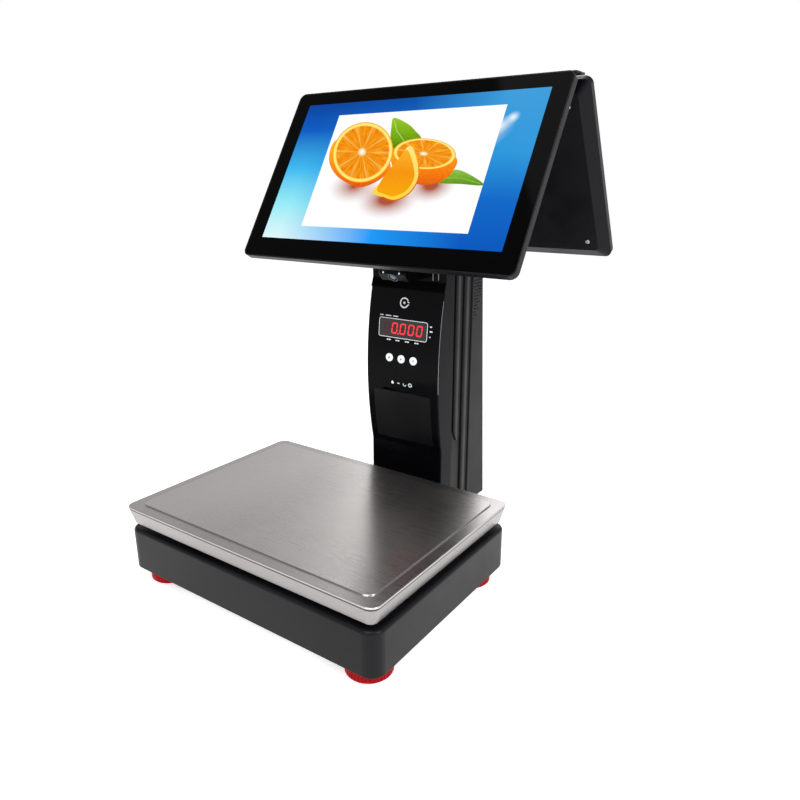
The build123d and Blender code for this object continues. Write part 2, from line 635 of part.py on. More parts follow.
with BuildPart() as column_shell:
    with BuildSketch(Plane.YZ):
        shell_outline(SEAM_Y, 0, COLUMN_LOW_Z, COLUMN_TOP_Z)
    extrude(amount=COLUMN_HALF - RIB_SINK, both=True)
    # proud rear band and the two ribs on each side
    with BuildSketch(Plane.YZ):
        shell_outline(BAND_Y, 0, COLUMN_LOW_Z, COLUMN_TOP_Z)
    extrude(amount=COLUMN_HALF, both=True)
    with BuildSketch(Plane.YZ):
        for rib_front, rib_back, rib_low in RIB_SPANS:
            Polygon((rib_front, COLUMN_TOP_Z), (rib_front, rib_low + RIB_TAPER), (rib_back - 3, rib_low),
                    (rib_back, rib_low), (rib_back, COLUMN_TOP_Z), align=None)
    extrude(amount=COLUMN_HALF, both=True)
    long_edges = column_shell.edges().filter_by(lambda edge: edge.length > 200)
    side_edges = long_edges.filter_by(lambda edge: abs(abs(edge.center().X) - COLUMN_HALF) < 0.01)
    fillet(side_edges, 1.5)
    with BuildSketch(Plane.YZ):
        shell_outline(SEAM_Y - 1, WALL, COLUMN_LOW_Z, COLUMN_TOP_Z - WALL)
    extrude(amount=COLUMN_HALF - RIB_SINK - WALL, both=True, mode=Mode.SUBTRACT)
    # way through the top for the head post
    with BuildSketch(level_plane(HEAD_Y, COLUMN_TOP_Z - WALL)):
        RectangleRounded(2 * POST_HALF + 4, POST_DEPTH + 4, 3)
    extrude(amount=WALL, mode=Mode.SUBTRACT)
    # opening for the socket plate
    with BuildSketch(back_plane(IO_Z)):
        RectangleRounded(IO_W, IO_H, 3)
    extrude(amount=4, both=True, mode=Mode.SUBTRACT)
    # vent: staggered holes whose lower edge runs off diagonally
    with BuildSketch(Plane.YZ):
        for row in range(VENT_ROWS):
            for place in range(VENT_PLACES):
                hole_y = VENT_Y + VENT_PITCH_Y * (place + row % 2 / 2)
                hole_z = VENT_TOP_Z - VENT_PITCH_Z * row
                if hole_y < back_y(hole_z) - 4 and row < 6 + 2 * (VENT_PLACES - 1 - place):
                    with Locations((hole_y, hole_z)):
                        Circle(VENT_R)
    extrude(amount=COLUMN_HALF, both=True, mode=Mode.SUBTRACT)
save(column_shell, "column_shell")

with BuildPart() as column_spine:
    # C-channel open to the operator, with a cap for the head post and a foot on the chassis tongue
    with BuildSketch(level_plane(SPINE_Y, CHASSIS_TOP_Z)):
        with Locations((0, WALL / 2)):
            Rectangle(2 * SPINE_HALF, WALL)
        with GridLocations(2 * SPINE_HALF - WALL, 0, 2, 1):
            with Locations((0, -SPINE_FLANGE / 2)):
                Rectangle(WALL, SPINE_FLANGE)
    extrude(amount=POST_LOW_Z - CHASSIS_TOP_Z)
    cap_depth = 56.0
    with BuildSketch(level_plane(SPINE_Y, POST_LOW_Z - WALL)):
        with Locations((0, (WALL - cap_depth) / 2)):
            Rectangle(2 * SPINE_HALF, cap_depth + WALL)
        with Locations((0, HEAD_Y - SPINE_Y)):
            Rectangle(*CABLE_WAY, mode=Mode.SUBTRACT)
    extrude(amount=WALL)
    with BuildSketch(level_plane(SPINE_Y, CHASSIS_TOP_Z)):
        with Locations((0, -SPINE_FLANGE / 2)):
            Rectangle(2 * TONGUE_HALF, SPINE_FLANGE)
    extrude(amount=WALL)
    # cable way through the web
    with BuildSketch(Plane((0, SPINE_Y, 300), x_dir=(1, 0, 0), z_dir=(0, 1, 0))):
        SlotCenterToCenter(30, 16)
    extrude(amount=WALL, mode=Mode.SUBTRACT)
save(column_spine, "column_spine")

# ---------------------------------------------------------------- console pieces
with BuildPart() as readout_window:
    with BuildSketch(console_plane(WINDOW_Z, WINDOW_THICK + 0.1)):
        RectangleRounded(WINDOW_W, WINDOW_H, 2)
    extrude(amount=WINDOW_THICK)
save(readout_window, "readout_window")

with BuildPart() as console_board:
    with BuildSketch(console_plane(BOARD_Z, BOARD_DEPTH)):
        Rectangle(BOARD_W, BOARD_H)
    extrude(amount=-BOARD_THICK)
    # push switches behind the keys
    with BuildSketch(console_plane(BOARD_Z, BOARD_DEPTH)):
        with Locations((0, KEY_Z - BOARD_Z)):
            with GridLocations(KEY_PITCH, 0, 3, 1):
                Rectangle(6, 6)
    extrude(amount=3.2)
    # digit module behind the readout window
    with BuildSketch(console_plane(BOARD_Z, BOARD_DEPTH)):
        with Locations((0, WINDOW_Z - BOARD_Z)):
            Rectangle(WINDOW_W - 4, WINDOW_H - 3)
    extrude(amount=9.5)
save(console_board, "console_board")

for index, key_name in enumerate(KEY_NAMES):
    key_plane = console_plane(KEY_Z, KEY_LENGTH - KEY_PROUD)
    key_x = (index - 1) * KEY_PITCH
    with BuildPart() as key:
        with BuildSketch(key_plane):
            with Locations((key_x, 0)):
                Circle(KEY_R)
        extrude(amount=KEY_LENGTH)
        fillet(key.faces().sort_by(Axis.Y)[0].edges(), 0.6)
        # flange that keeps the key in its hole
        with BuildSketch(key_plane):
            with Locations((key_x, 0)):
                Circle(KEY_R + 1.2)
        extrude(amount=KEY_LENGTH - KEY_PROUD - WALL - 0.2)
    save(key, key_name)

with BuildPart() as printer_door:
    heights = (DOOR_LOW_Z, (DOOR_LOW_Z + DOOR_TOP_Z) / 2, DOOR_TOP_Z)
    with BuildSketch(Plane.YZ):
        with BuildLine():
            outside = ThreePointArc(*((front_y(z), z) for z in heights))
            inside = ThreePointArc(*((front_y(z) + WALL, z) for z in heights))
            Line(outside @ 0, inside @ 0)
            Line(outside @ 1, inside @ 1)
        make_face()
        with Locations((DOOR_AXIS_Y, DOOR_AXIS_Z)):
            Circle(DOOR_PIN_R + 0.6)
    extrude(amount=DOOR_HALF, both=True)
    with BuildSketch(Plane.YZ):
        with Locations((DOOR_AXIS_Y, DOOR_AXIS_Z)):
            Circle(DOOR_PIN_R)
    extrude(amount=DOOR_HALF + 3.2, both=True)
save(printer_door, "printer_door")

with BuildPart() as tear_bar:
    # steel strip with a saw edge above the label slot
    with BuildSketch(level_plane(front_y(SLOT_TOP_Z) + WALL + 5.6, SLOT_TOP_Z + 0.2)):
        Rectangle(2 * SLOT_HALF + 8, 8)
        with Locations((0, -4)):
            with GridLocations(2.0, 0, 30, 1):
                Triangle(a=1.4, B=60, C=60, rotation=180, align=(Align.CENTER, Align.CENTER))
    extrude(amount=1.0)
save(tear_bar, "tear_bar")

# ---------------------------------------------------------------- label printer
with BuildPart() as printer_frame:
    for plate_x in (PLATE_IN, -PLATE_OUT):
        with BuildSketch(Plane.YZ.offset(plate_x)):
            Polygon((FRAME_FRONT_Y, FRAME_LOW_Z), (FRAME_BACK_Y, FRAME_LOW_Z), (FRAME_BACK_Y, 162),
                    (88, FRAME_TOP_Z), (FRAME_FRONT_Y, FRAME_TOP_Z), align=None)
        extrude(amount=PLATE_OUT - PLATE_IN)
    # floor between the plates, reaching back to the spine, and a bridge over the print head
    with BuildSketch(level_plane(SPINE_Y - 37, FRAME_LOW_Z)):
        Rectangle(91.6, 74)
    extrude(amount=WALL)
    with BuildSketch(level_plane(FRAME_FRONT_Y + 11, FRAME_TOP_Z - WALL)):
        Rectangle(2 * PLATE_OUT, 20)
    extrude(amount=WALL)
    # spindle that the label roll's core runs on
    with BuildSketch(Plane.YZ):
        with Locations((ROLL_Y, ROLL_Z)):
            Circle(SPINDLE_R)
    extrude(amount=PLATE_IN, both=True)
    with BuildSketch(Plane.YZ):
        with Locations((PLATEN_Y, PLATEN_Z)):
            Circle(PLATEN_SHAFT_R + RUN_GAP)
        with Locations((MOTOR_Y, MOTOR_Z)):
            Circle(4)
    extrude(amount=PLATE_OUT, both=True, mode=Mode.SUBTRACT)
save(printer_frame, "printer_frame")

with BuildPart() as platen_roller:
    # steel shaft with a rubber sleeve
    with BuildSketch(Plane.YZ):
        with Locations((PLATEN_Y, PLATEN_Z)):
            Circle(PLATEN_R)
    extrude(amount=29, both=True)
    with BuildSketch(Plane.YZ.offset(-PLATE_OUT - 3)):
        with Locations((PLATEN_Y, PLATEN_Z)):
            Circle(PLATEN_SHAFT_R)
    extrude(amount=2 * PLATE_OUT + 3 + GEAR_THICK + 2)
save(platen_roller, "platen_roller")


def gear_profile(teeth, bore):
    """Spur gear with straight-sided teeth; the first tooth points along the sketch's x axis."""
    pitch_r = GEAR_MODULE * teeth / 2
    root_r = pitch_r - 1.15 * GEAR_MODULE
    tip_r = pitch_r + 0.85 * GEAR_MODULE
    root_half = 0.33 * pi * GEAR_MODULE
    tip_half = 0.12 * pi * GEAR_MODULE
    Circle(root_r)
    with PolarLocations(0, teeth):
        Polygon((root_r - 0.6, -root_half), (root_r, -root_half), (tip_r, -tip_half), (tip_r, tip_half),
                (root_r, root_half), (root_r - 0.6, root_half), align=None)
    Circle(bore, mode=Mode.SUBTRACT)


along_centres = Vector(0, MOTOR_Y - PLATEN_Y, MOTOR_Z - PLATEN_Z).normalized()
with BuildPart() as platen_gear:
    with BuildSketch(Plane((GEAR_X, PLATEN_Y, PLATEN_Z), x_dir=along_centres, z_dir=(1, 0, 0))):
        gear_profile(PLATEN_TEETH, PLATEN_SHAFT_R)
    extrude(amount=GEAR_THICK)
save(platen_gear, "platen_gear")

# the motor gear is turned by half a tooth so that a gap meets the platen gear's tooth
half_tooth = Location((0, 0, 0), (0, 0, 180 / MOTOR_TEETH))
motor_gear_plane = Plane((GEAR_X, MOTOR_Y, MOTOR_Z), x_dir=along_centres * -1, z_dir=(1, 0, 0))
with BuildPart() as motor_gear:
    with BuildSketch(motor_gear_plane * half_tooth):
        gear_profile(MOTOR_TEETH, 0.8)
        Circle(MOTOR_SHAFT_R)
    extrude(amount=GEAR_THICK)
    # shaft pressed into the gear, running in the motor
    with BuildSketch(motor_gear_plane.offset(-18)):
        Circle(MOTOR_SHAFT_R)
    extrude(amount=18)
save(motor_gear, "motor_gear")

with BuildPart() as stepper_motor:
    with BuildSketch(Plane((PLATE_IN, MOTOR_Y, MOTOR_Z), x_dir=(0, 1, 0), z_dir=(-1, 0, 0))):
        Circle(MOTOR_R)
    extrude(amount=20)
    with BuildSketch(Plane((PLATE_OUT, MOTOR_Y, MOTOR_Z), x_dir=(0, 1, 0), z_dir=(-1, 0, 0))):
        Circle(MOTOR_SHAFT_R + RUN_GAP)
    extrude(amount=20, mode=Mode.SUBTRACT)
save(stepper_motor, "stepper_motor")

with BuildPart() as thermal_head:
    with BuildSketch(level_plane(PLATEN_Y + 3, HEAD_LOW_Z)):
        Rectangle(HEAD_W, HEAD_DEPTH)
    extrude(amount=2)
    # finned heat sink on the ceramic
    with BuildSketch(Plane((-HEAD_W / 2, PLATEN_Y + 3, HEAD_LOW_Z + 2), x_dir=(0, 1, 0), z_dir=(1, 0, 0))):
        with Locations((0, 1)):
            Rectangle(HEAD_DEPTH, 2)
        with Locations((0, 3.5)):
            with GridLocations(4, 0, 4, 1):
                Rectangle(1.6, 3)
    extrude(amount=HEAD_W)
save(thermal_head, "thermal_head")


def roll_ring(outer, inner):
    """Section of a plain tube on the label roll's axis."""
    with Locations((ROLL_Y, ROLL_Z)):
        Circle(outer)
        Circle(inner, mode=Mode.SUBTRACT)


with BuildPart() as label_roll:
    with BuildSketch(Plane.YZ):
        roll_ring(ROLL_R, CORE_R)
    extrude(amount=ROLL_HALF, both=True)
save(label_roll, "label_roll")

with BuildPart() as roll_core:
    with BuildSketch(Plane.YZ):
        roll_ring(CORE_R, SPINDLE_R + RUN_GAP)
    extrude(amount=ROLL_HALF + 1, both=True)
save(roll_core, "roll_core")

# ---------------------------------------------------------------- electronics and rear sockets
with BuildPart() as main_board:
    standoff_plane = Plane((0, SPINE_Y + WALL, MAIN_BOARD_Z), x_dir=(-1, 0, 0), z_dir=(0, 1, 0))
    with BuildSketch(standoff_plane):
        with GridLocations(MAIN_BOARD_W - 10, MAIN_BOARD_H - 10, 2, 2):
            Circle(2.6)
    extrude(amount=STANDOFF)
    with BuildSketch(standoff_plane.offset(STANDOFF)):
        Rectangle(MAIN_BOARD_W, MAIN_BOARD_H)
    extrude(amount=BOARD_THICK)
    # processor, memory, power stage and connectors
    with BuildSketch(standoff_plane.offset(STANDOFF + BOARD_THICK)):
        for across, up, width, height in (
            (-14, 20, 36, 36), (22, 30, 14, 60), (-10, -30, 44, 18), (24, -40, 20, 24)
        ):
            with Locations((across, up)):
                Rectangle(width, height)
    extrude(amount=4)
save(main_board, "main_board")

with BuildPart() as power_supply:
    with BuildSketch(level_plane(SUPPLY_Y, CHASSIS_TOP_Z + WALL)):
        Rectangle(SUPPLY_W, SUPPLY_DEPTH)
    extrude(amount=SUPPLY_HEIGHT)
    chamfer(power_supply.faces().sort_by(Axis.Z)[-1].edges(), 1)
    # row of cooling slots through the top sheet
    with BuildSketch(level_plane(SUPPLY_Y, CHASSIS_TOP_Z + WALL + SUPPLY_HEIGHT)):
        with GridLocations(8, 0, 8, 1):
            SlotCenterToCenter(44, 3, rotation=90)
    extrude(amount=-2, mode=Mode.SUBTRACT)
save(power_supply, "power_supply")

with BuildPart() as socket_plate:
    with BuildSketch(back_plane(IO_Z, WALL)):
        RectangleRounded(IO_W - 0.2, IO_H - 0.2, 2.9)
        with Locations((INLET_U, 0)):
            Rectangle(INLET_W + 0.2, INLET_H + 0.2, mode=Mode.SUBTRACT)
        for across, up, width, height, depth in SOCKETS:
            with Locations((across, up)):
                Rectangle(width + 0.2, height + 0.2, mode=Mode.SUBTRACT)
    extrude(amount=1.5)
save(socket_plate, "socket_plate")

with BuildPart() as data_sockets:
    # network, cash drawer and two USB sockets
    for across, up, width, height, depth in SOCKETS:
        with BuildSketch(back_plane(IO_Z, depth + 0.7)):
            with Locations((across, up)):
                Rectangle(width, height)
        extrude(amount=depth)
        with BuildSketch(back_plane(IO_Z, depth - 1.3)):
            with Locations((across, up)):
                Rectangle(width - 1.6, height - 1.6)
        extrude(amount=depth - 1.4, mode=Mode.SUBTRACT)
save(data_sockets, "data_sockets")

with BuildPart() as power_inlet:
    # appliance inlet and switch bay in one moulding
    with BuildSketch(back_plane(IO_Z, 24)):
        with Locations((INLET_U, 0)):
            Rectangle(INLET_W, INLET_H)
    extrude(amount=23)
    with BuildSketch(back_plane(IO_Z, 1)):
        with Locations((INLET_U, 0)):
            RectangleRounded(INLET_W + 4, INLET_H + 4, 3)
    extrude(amount=1.5)
    with BuildSketch(back_plane(IO_Z, INLET_RECESS)):
        with Locations((INLET_U, INLET_UP)):
            RectangleRounded(INLET_W - 3, 17, 3)
    extrude(amount=INLET_RECESS + 1, mode=Mode.SUBTRACT)
    # live, earth and neutral pins
    with BuildSketch(back_plane(IO_Z, INLET_RECESS)):
        with Locations((INLET_U - 7, INLET_UP - 2), (INLET_U, INLET_UP + 2), (INLET_U + 7, INLET_UP - 2)):
            Rectangle(2, 4)
    extrude(amount=INLET_RECESS - PIN_TIP_DEPTH)
    with BuildSketch(back_plane(IO_Z, 15)):
        with Locations((INLET_U, ROCKER_UP)):
            Rectangle(2 * ROCKER_HALF + 0.6, 2 * ROCKER_R + 0.4)
    extrude(amount=16, mode=Mode.SUBTRACT)
    rocker_back = back_plane(IO_Z, ROCKER_DEPTH - 0.5)
    rocker_axis = rocker_back.from_local_coords((INLET_U, ROCKER_UP, 0))
    with BuildSketch(Plane(rocker_axis, x_dir=rocker_back.y_dir, z_dir=(1, 0, 0))):
        Circle(ROCKER_PIN_R + RUN_GAP)
    extrude(amount=ROCKER_HALF + 1.2, both=True, mode=Mode.SUBTRACT)
save(power_inlet, "power_inlet")

with BuildPart() as power_rocker:
    # V-faced rocker, lying over to one side
    rocker_plane = Plane(rocker_axis, x_dir=rocker_back.y_dir, z_dir=(1, 0, 0))
    with BuildSketch(rocker_plane * Location((0, 0, 0), (0, 0, ROCKER_LEAN))):
        Circle(ROCKER_R)
        with Locations((0, -1)):
            Rectangle(2 * ROCKER_R + 2, 10, mode=Mode.INTERSECT)
        Polygon((-7.2, -5.4), (0, -3.8), (7.2, -5.4), (9, -9), (-9, -9), align=None, mode=Mode.SUBTRACT)
    extrude(amount=ROCKER_HALF, both=True)
    with BuildSketch(rocker_plane):
        Circle(ROCKER_PIN_R)
    extrude(amount=ROCKER_HALF + 1.0, both=True)
save(power_rocker, "power_rocker")

# ================================================================ head
with BuildPart() as head_post:
    with BuildSketch(level_plane(HEAD_Y, POST_LOW_Z)):
        Rectangle(2 * POST_HALF, POST_DEPTH)
        Rectangle(2 * (POST_HALF - WALL), POST_DEPTH - 2 * WALL, mode=Mode.SUBTRACT)
    extrude(amount=POST_TOP_Z - POST_LOW_Z)
    with BuildSketch(level_plane(HEAD_Y, POST_LOW_Z)):
        RectangleRounded(84, 46, 4)
        Rectangle(*CABLE_WAY, mode=Mode.SUBTRACT)
    extrude(amount=3)
    # cheeks that carry both hinge shafts
    for side in (-1, 1):
        with BuildSketch(Plane.YZ.offset(side * (POST_HALF - CHEEK))):
            with Locations((HEAD_Y, HINGE_Z)):
                SlotCenterToCenter(2 * HINGE_DY, 2 * CHEEK_R)
            with Locations((HEAD_Y, (HINGE_Z + CHEEK_LOW_Z) / 2)):
                Rectangle(POST_DEPTH, HINGE_Z - CHEEK_LOW_Z)
        extrude(amount=CHEEK, both=True)
    with BuildSketch(Plane.YZ):
        with Locations((HEAD_Y - HINGE_DY, HINGE_Z), (HEAD_Y + HINGE_DY, HINGE_Z)):
            Circle(HINGE_SHAFT_R + RUN_GAP)
    extrude(amount=POST_HALF, both=True, mode=Mode.SUBTRACT)
save(head_post, "head_post")

with BuildPart() as post_cover:
    with BuildSketch(level_plane(HEAD_Y, COLUMN_TOP_Z)):
        RectangleRounded(POST_COVER_W, POST_COVER_DEPTH, 8)
    extrude(amount=POST_COVER_TOP_Z - COLUMN_TOP_Z)
    fillet(post_cover.faces().sort_by(Axis.Z)[-1].edges(), 2)
    with BuildSketch(level_plane(HEAD_Y, COLUMN_TOP_Z)):
        RectangleRounded(POST_COVER_W - 2 * WALL, POST_COVER_DEPTH - 2 * WALL, 8 - WALL)
    extrude(amount=POST_COVER_TOP_Z - COLUMN_TOP_Z - WALL, mode=Mode.SUBTRACT)
    with BuildSketch(level_plane(HEAD_Y, POST_COVER_TOP_Z - WALL)):
        Rectangle(2 * POST_HALF + 0.4, POST_DEPTH + 0.4)
    extrude(amount=WALL, mode=Mode.SUBTRACT)
save(post_cover, "post_cover")

with BuildPart() as camera_pod:
    # arm and housing that look down at the pan from under the front display
    with BuildSketch(Plane.YZ):
        Polygon((HOOD_Y, POD_LOW_Z), (HOOD_Y, POD_TOP_Z), (POD_FRONT_Y, POD_TOP_Z),
                (POD_FRONT_Y, POD_TOP_Z - 3), (POD_FRONT_Y + 9, POD_LOW_Z), align=None)
    extrude(amount=POD_HALF, both=True)
    fillet(camera_pod.edges().filter_by(Axis.Z).group_by(Axis.Y)[0], 3)
    lens_plane = Plane(LENS_CENTRE, x_dir=(1, 0, 0), z_dir=LENS_FACING)
    with BuildSketch(lens_plane):
        Circle(LENS_R + 0.1)
    extrude(amount=-3, mode=Mode.SUBTRACT)
save(camera_pod, "camera_pod")

with BuildPart() as camera_lens:
    with BuildSketch(lens_plane.offset(-3)):
        Circle(LENS_R)
    extrude(amount=3.4)
    fillet(camera_lens.faces().sort_by(Axis(LENS_CENTRE, LENS_FACING))[-1].edges(), 1.5)
save(camera_lens, "camera_lens")

with BuildPart() as top_cap:
    with BuildSketch(Plane.YZ):
        with Locations((HEAD_Y, (CAP_Z + CAP_TOP_Z) / 2)):
            Rectangle(CAP_DEPTH, CAP_TOP_Z - CAP_Z)
    extrude(amount=CAP_HALF, both=True)
    with BuildSketch(level_plane(HEAD_Y, CAP_TOP_Z - CAP_LID)):
        RectangleRounded(2 * CAP_LID_HALF, CAP_LID_DEPTH, CAP_LID_R)
    extrude(amount=CAP_LID)
    with BuildSketch(level_plane(HEAD_Y, HINGE_Z + CHEEK_R)):
        Rectangle(2 * POST_HALF, 10)
    extrude(amount=CAP_Z - HINGE_Z - CHEEK_R + 1)
save(top_cap, "top_cap")


# ================================================================ displays
def display_plane(side):
    """Plane on the outer face of a display: side -1 faces the operator, +1 the customer."""
    lean = radians(TILT)
    origin = (0, HEAD_Y + side * (HEAD_Y - LCD_Y), LCD_Z)
    return Plane(origin, x_dir=(-side, 0, 0), z_dir=(0, side * cos(lean), sin(lean)))


def display_outline(inset, radius):
    """Rounded outline of the display housing, set in from its edge."""
    with Locations((0, DISPLAY_SHIFT)):
        RectangleRounded(DISPLAY_W - 2 * inset, DISPLAY_H - 2 * inset, radius)


for display, side in (("front", -1), ("rear", 1)):
    face = display_plane(side)
    with BuildPart() as display_shell:
        with BuildSketch(face):
            display_outline(0, DISPLAY_CORNER_R)
        extrude(amount=-DISPLAY_STRAIGHT)
        with BuildSketch(face.offset(-DISPLAY_STRAIGHT)):
            display_outline(0, DISPLAY_CORNER_R)
        with BuildSketch(face.offset(-DISPLAY_THICK)):
            display_outline(DISPLAY_SLOPE, DISPLAY_CORNER_R - 3)
        loft(ruled=True)
        with BuildSketch(face):
            display_outline(GLASS_RIM, DISPLAY_CORNER_R - GLASS_RIM)
        extrude(amount=-GLASS_SINK - GLASS_THICK, mode=Mode.SUBTRACT)
        with BuildSketch(face):
            Rectangle(LCD_W + 2, LCD_H + 2)
        extrude(amount=-DISPLAY_THICK + WALL, mode=Mode.SUBTRACT)
        # seat for the port cover
        with BuildSketch(face.offset(-DISPLAY_THICK)):
            with Locations((side * COVER_U, 0)):
                RectangleRounded(COVER_W + 0.4, COVER_H + 0.4, 3.2)
        extrude(amount=1.0, mode=Mode.SUBTRACT)
        # two rows of cooling slots low on the back
        with BuildSketch(face.offset(-DISPLAY_THICK)):
            with Locations(*((0, up) for up in SLOT_ROWS_UP)):
                with GridLocations(7, 0, SLOTS_IN_ROW, 1):
                    SlotCenterToCenter(7, 2.4, rotation=90)
        extrude(amount=WALL, mode=Mode.SUBTRACT)
    save(display_shell, f"{display}_display_shell")

    with BuildPart() as display_glass:
        with BuildSketch(face.offset(-GLASS_SINK - GLASS_THICK)):
            display_outline(GLASS_RIM + 0.1, DISPLAY_CORNER_R - GLASS_RIM - 0.1)
        extrude(amount=GLASS_THICK)
    save(display_glass, f"{display}_display_glass")

    with BuildPart() as display_panel:
        with BuildSketch(face.offset(-GLASS_SINK - GLASS_THICK - LCD_THICK)):
            Rectangle(LCD_W, LCD_H)
        extrude(amount=LCD_THICK)
    save(display_panel, f"{display}_display_panel")

    with BuildPart() as port_cover:
        with BuildSketch(face.offset(-DISPLAY_THICK - 0.3)):
            with Locations((side * COVER_U, 0)):
                RectangleRounded(COVER_W, COVER_H, 3)
        extrude(amount=1.3)
    save(port_cover, f"{display}_port_cover")

    # hinge bracket: plate on the back of the shell, two lugs and the shaft through both cheeks
    axis_local = face.to_local_coords(Vector(0, HEAD_Y + side * HINGE_DY, HINGE_Z))
    plate_w, plate_h, plate_thick = HINGE_PLATE
    plate_top = HINGE_PLATE_UP + plate_h / 2
    with BuildPart() as display_hinge:
        with BuildSketch(face.offset(-DISPLAY_THICK)):
            with Locations((0, HINGE_PLATE_UP)):
                RectangleRounded(plate_w, plate_h, 4)
        extrude(amount=-plate_thick)
        for lug_x in (-HINGE_LUG_X - HINGE_LUG, HINGE_LUG_X):
            lug_plane = Plane((lug_x, face.origin.Y, face.origin.Z), x_dir=face.y_dir, z_dir=(1, 0, 0))
            depth = -side * axis_local.Z
            with BuildSketch(lug_plane):
                with Locations((axis_local.Y, depth)):
                    Circle(HINGE_LUG_R)
                Polygon((plate_top - 26, side * DISPLAY_THICK), (plate_top - 1, side * DISPLAY_THICK),
                        (axis_local.Y + 5, depth), (axis_local.Y - 5, depth), align=None)
            extrude(amount=HINGE_LUG)
        shaft_end = (-HINGE_LUG_X - HINGE_LUG, HEAD_Y + side * HINGE_DY, HINGE_Z)
        with BuildSketch(Plane(shaft_end, x_dir=(0, 1, 0), z_dir=(1, 0, 0))):
            Circle(HINGE_SHAFT_R)
        extrude(amount=2 * (HINGE_LUG_X + HINGE_LUG))
    save(display_hinge, f"{display}_display_hinge")
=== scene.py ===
import json
import math

import bpy
from mathutils import Matrix, Vector
from mathutils.bvhtree import BVHTree


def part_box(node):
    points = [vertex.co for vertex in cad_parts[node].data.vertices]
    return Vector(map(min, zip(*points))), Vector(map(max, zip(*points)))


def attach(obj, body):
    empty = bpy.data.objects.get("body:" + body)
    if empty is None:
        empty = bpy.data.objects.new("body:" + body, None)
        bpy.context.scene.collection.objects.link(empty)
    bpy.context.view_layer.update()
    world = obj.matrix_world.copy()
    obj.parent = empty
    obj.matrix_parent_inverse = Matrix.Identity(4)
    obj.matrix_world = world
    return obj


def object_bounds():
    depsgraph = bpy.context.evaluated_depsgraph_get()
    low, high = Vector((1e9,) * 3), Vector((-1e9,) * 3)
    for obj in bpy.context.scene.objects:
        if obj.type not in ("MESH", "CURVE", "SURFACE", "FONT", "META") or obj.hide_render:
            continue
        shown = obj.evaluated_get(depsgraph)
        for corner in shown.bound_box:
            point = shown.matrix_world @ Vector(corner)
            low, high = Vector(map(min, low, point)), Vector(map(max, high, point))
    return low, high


# Looks of the label printing scale: materials for every CAD node, and the pieces that are too small or
# too purely visual for CAD, all in the part's own frame. Materials, lights and the camera are in metres.
# Outlines of pieces and the places that they are laid at are in millimetres.

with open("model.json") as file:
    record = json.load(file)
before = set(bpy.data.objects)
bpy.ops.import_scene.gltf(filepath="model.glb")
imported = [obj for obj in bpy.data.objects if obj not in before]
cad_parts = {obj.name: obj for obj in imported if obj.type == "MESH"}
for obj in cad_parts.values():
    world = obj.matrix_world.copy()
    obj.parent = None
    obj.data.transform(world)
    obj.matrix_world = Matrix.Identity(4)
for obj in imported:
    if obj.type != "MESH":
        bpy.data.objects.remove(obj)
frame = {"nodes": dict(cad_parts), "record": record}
nodes = frame["nodes"]
cad_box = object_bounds()
MM = 0.001

# ---- camera
AIM = Vector((0.0353, -0.0093, 0.1996))
CAMERA_AZIMUTH = 34.98
CAMERA_ELEVATION = 17.59
CAMERA_DISTANCE = 0.85
LENS = 31.16


def toward(azimuth, elevation):
    """Unit vector from the scale towards a viewer at an azimuth and elevation in degrees."""
    across, up = math.radians(azimuth), math.radians(elevation)
    return Vector((math.sin(across) * math.cos(up), -math.cos(across) * math.cos(up), math.sin(up)))


def new_object(name, data):
    """An object in the scene that shows some data."""
    thing = bpy.data.objects.new(name, data)
    bpy.context.scene.collection.objects.link(thing)
    return thing


def add_camera():
    camera = new_object("camera", bpy.data.cameras.new("camera"))
    camera.location = AIM + toward(CAMERA_AZIMUTH, CAMERA_ELEVATION) * CAMERA_DISTANCE
    camera.rotation_euler = (math.radians(90 - CAMERA_ELEVATION), 0, math.radians(CAMERA_AZIMUTH))
    camera.data.lens = LENS
    bpy.context.scene.camera = camera


# ---- materials
def srgb(red, green, blue):
    """Linear colour of an 8-bit display colour."""
    linear = []
    for value in (red, green, blue):
        share = value / 255
        linear.append(share / 12.92 if share <= 0.04045 else ((share + 0.055) / 1.055) ** 2.4)
    return linear


class NodeTree:
    """Adds nodes to a tree; whatever feeds an input is a socket, a plain value or a linear colour."""

    def __init__(self, tree):
        self.tree = tree

    def feed(self, target, value):
        if isinstance(value, bpy.types.NodeSocket):
            self.tree.links.new(value, target)
        elif target.type == "RGBA":
            target.default_value = (*value, 1)
        else:
            target.default_value = value

    def add(self, kind, inputs=None, **settings):
        node = self.tree.nodes.new(kind)
        for key, value in settings.items():
            setattr(node, key, value)
        for key, value in (inputs or {}).items():
            self.feed(node.inputs[key], value)
        return node

    def axes(self, vector):
        """The x, y and z of a vector."""
        return self.add("ShaderNodeSeparateXYZ", {"Vector": vector}).outputs

    def ramp(self, source, *stops):
        """Colour along a source value; stops are (place, linear colour)."""
        node = self.add("ShaderNodeValToRGB", {"Fac": source})
        elements = node.color_ramp.elements
        while len(elements) < len(stops):
            elements.new(0.5)
        for element, (place, colour) in zip(elements, stops):
            element.position = place
            element.color = (*colour, 1)
        return node.outputs["Color"]


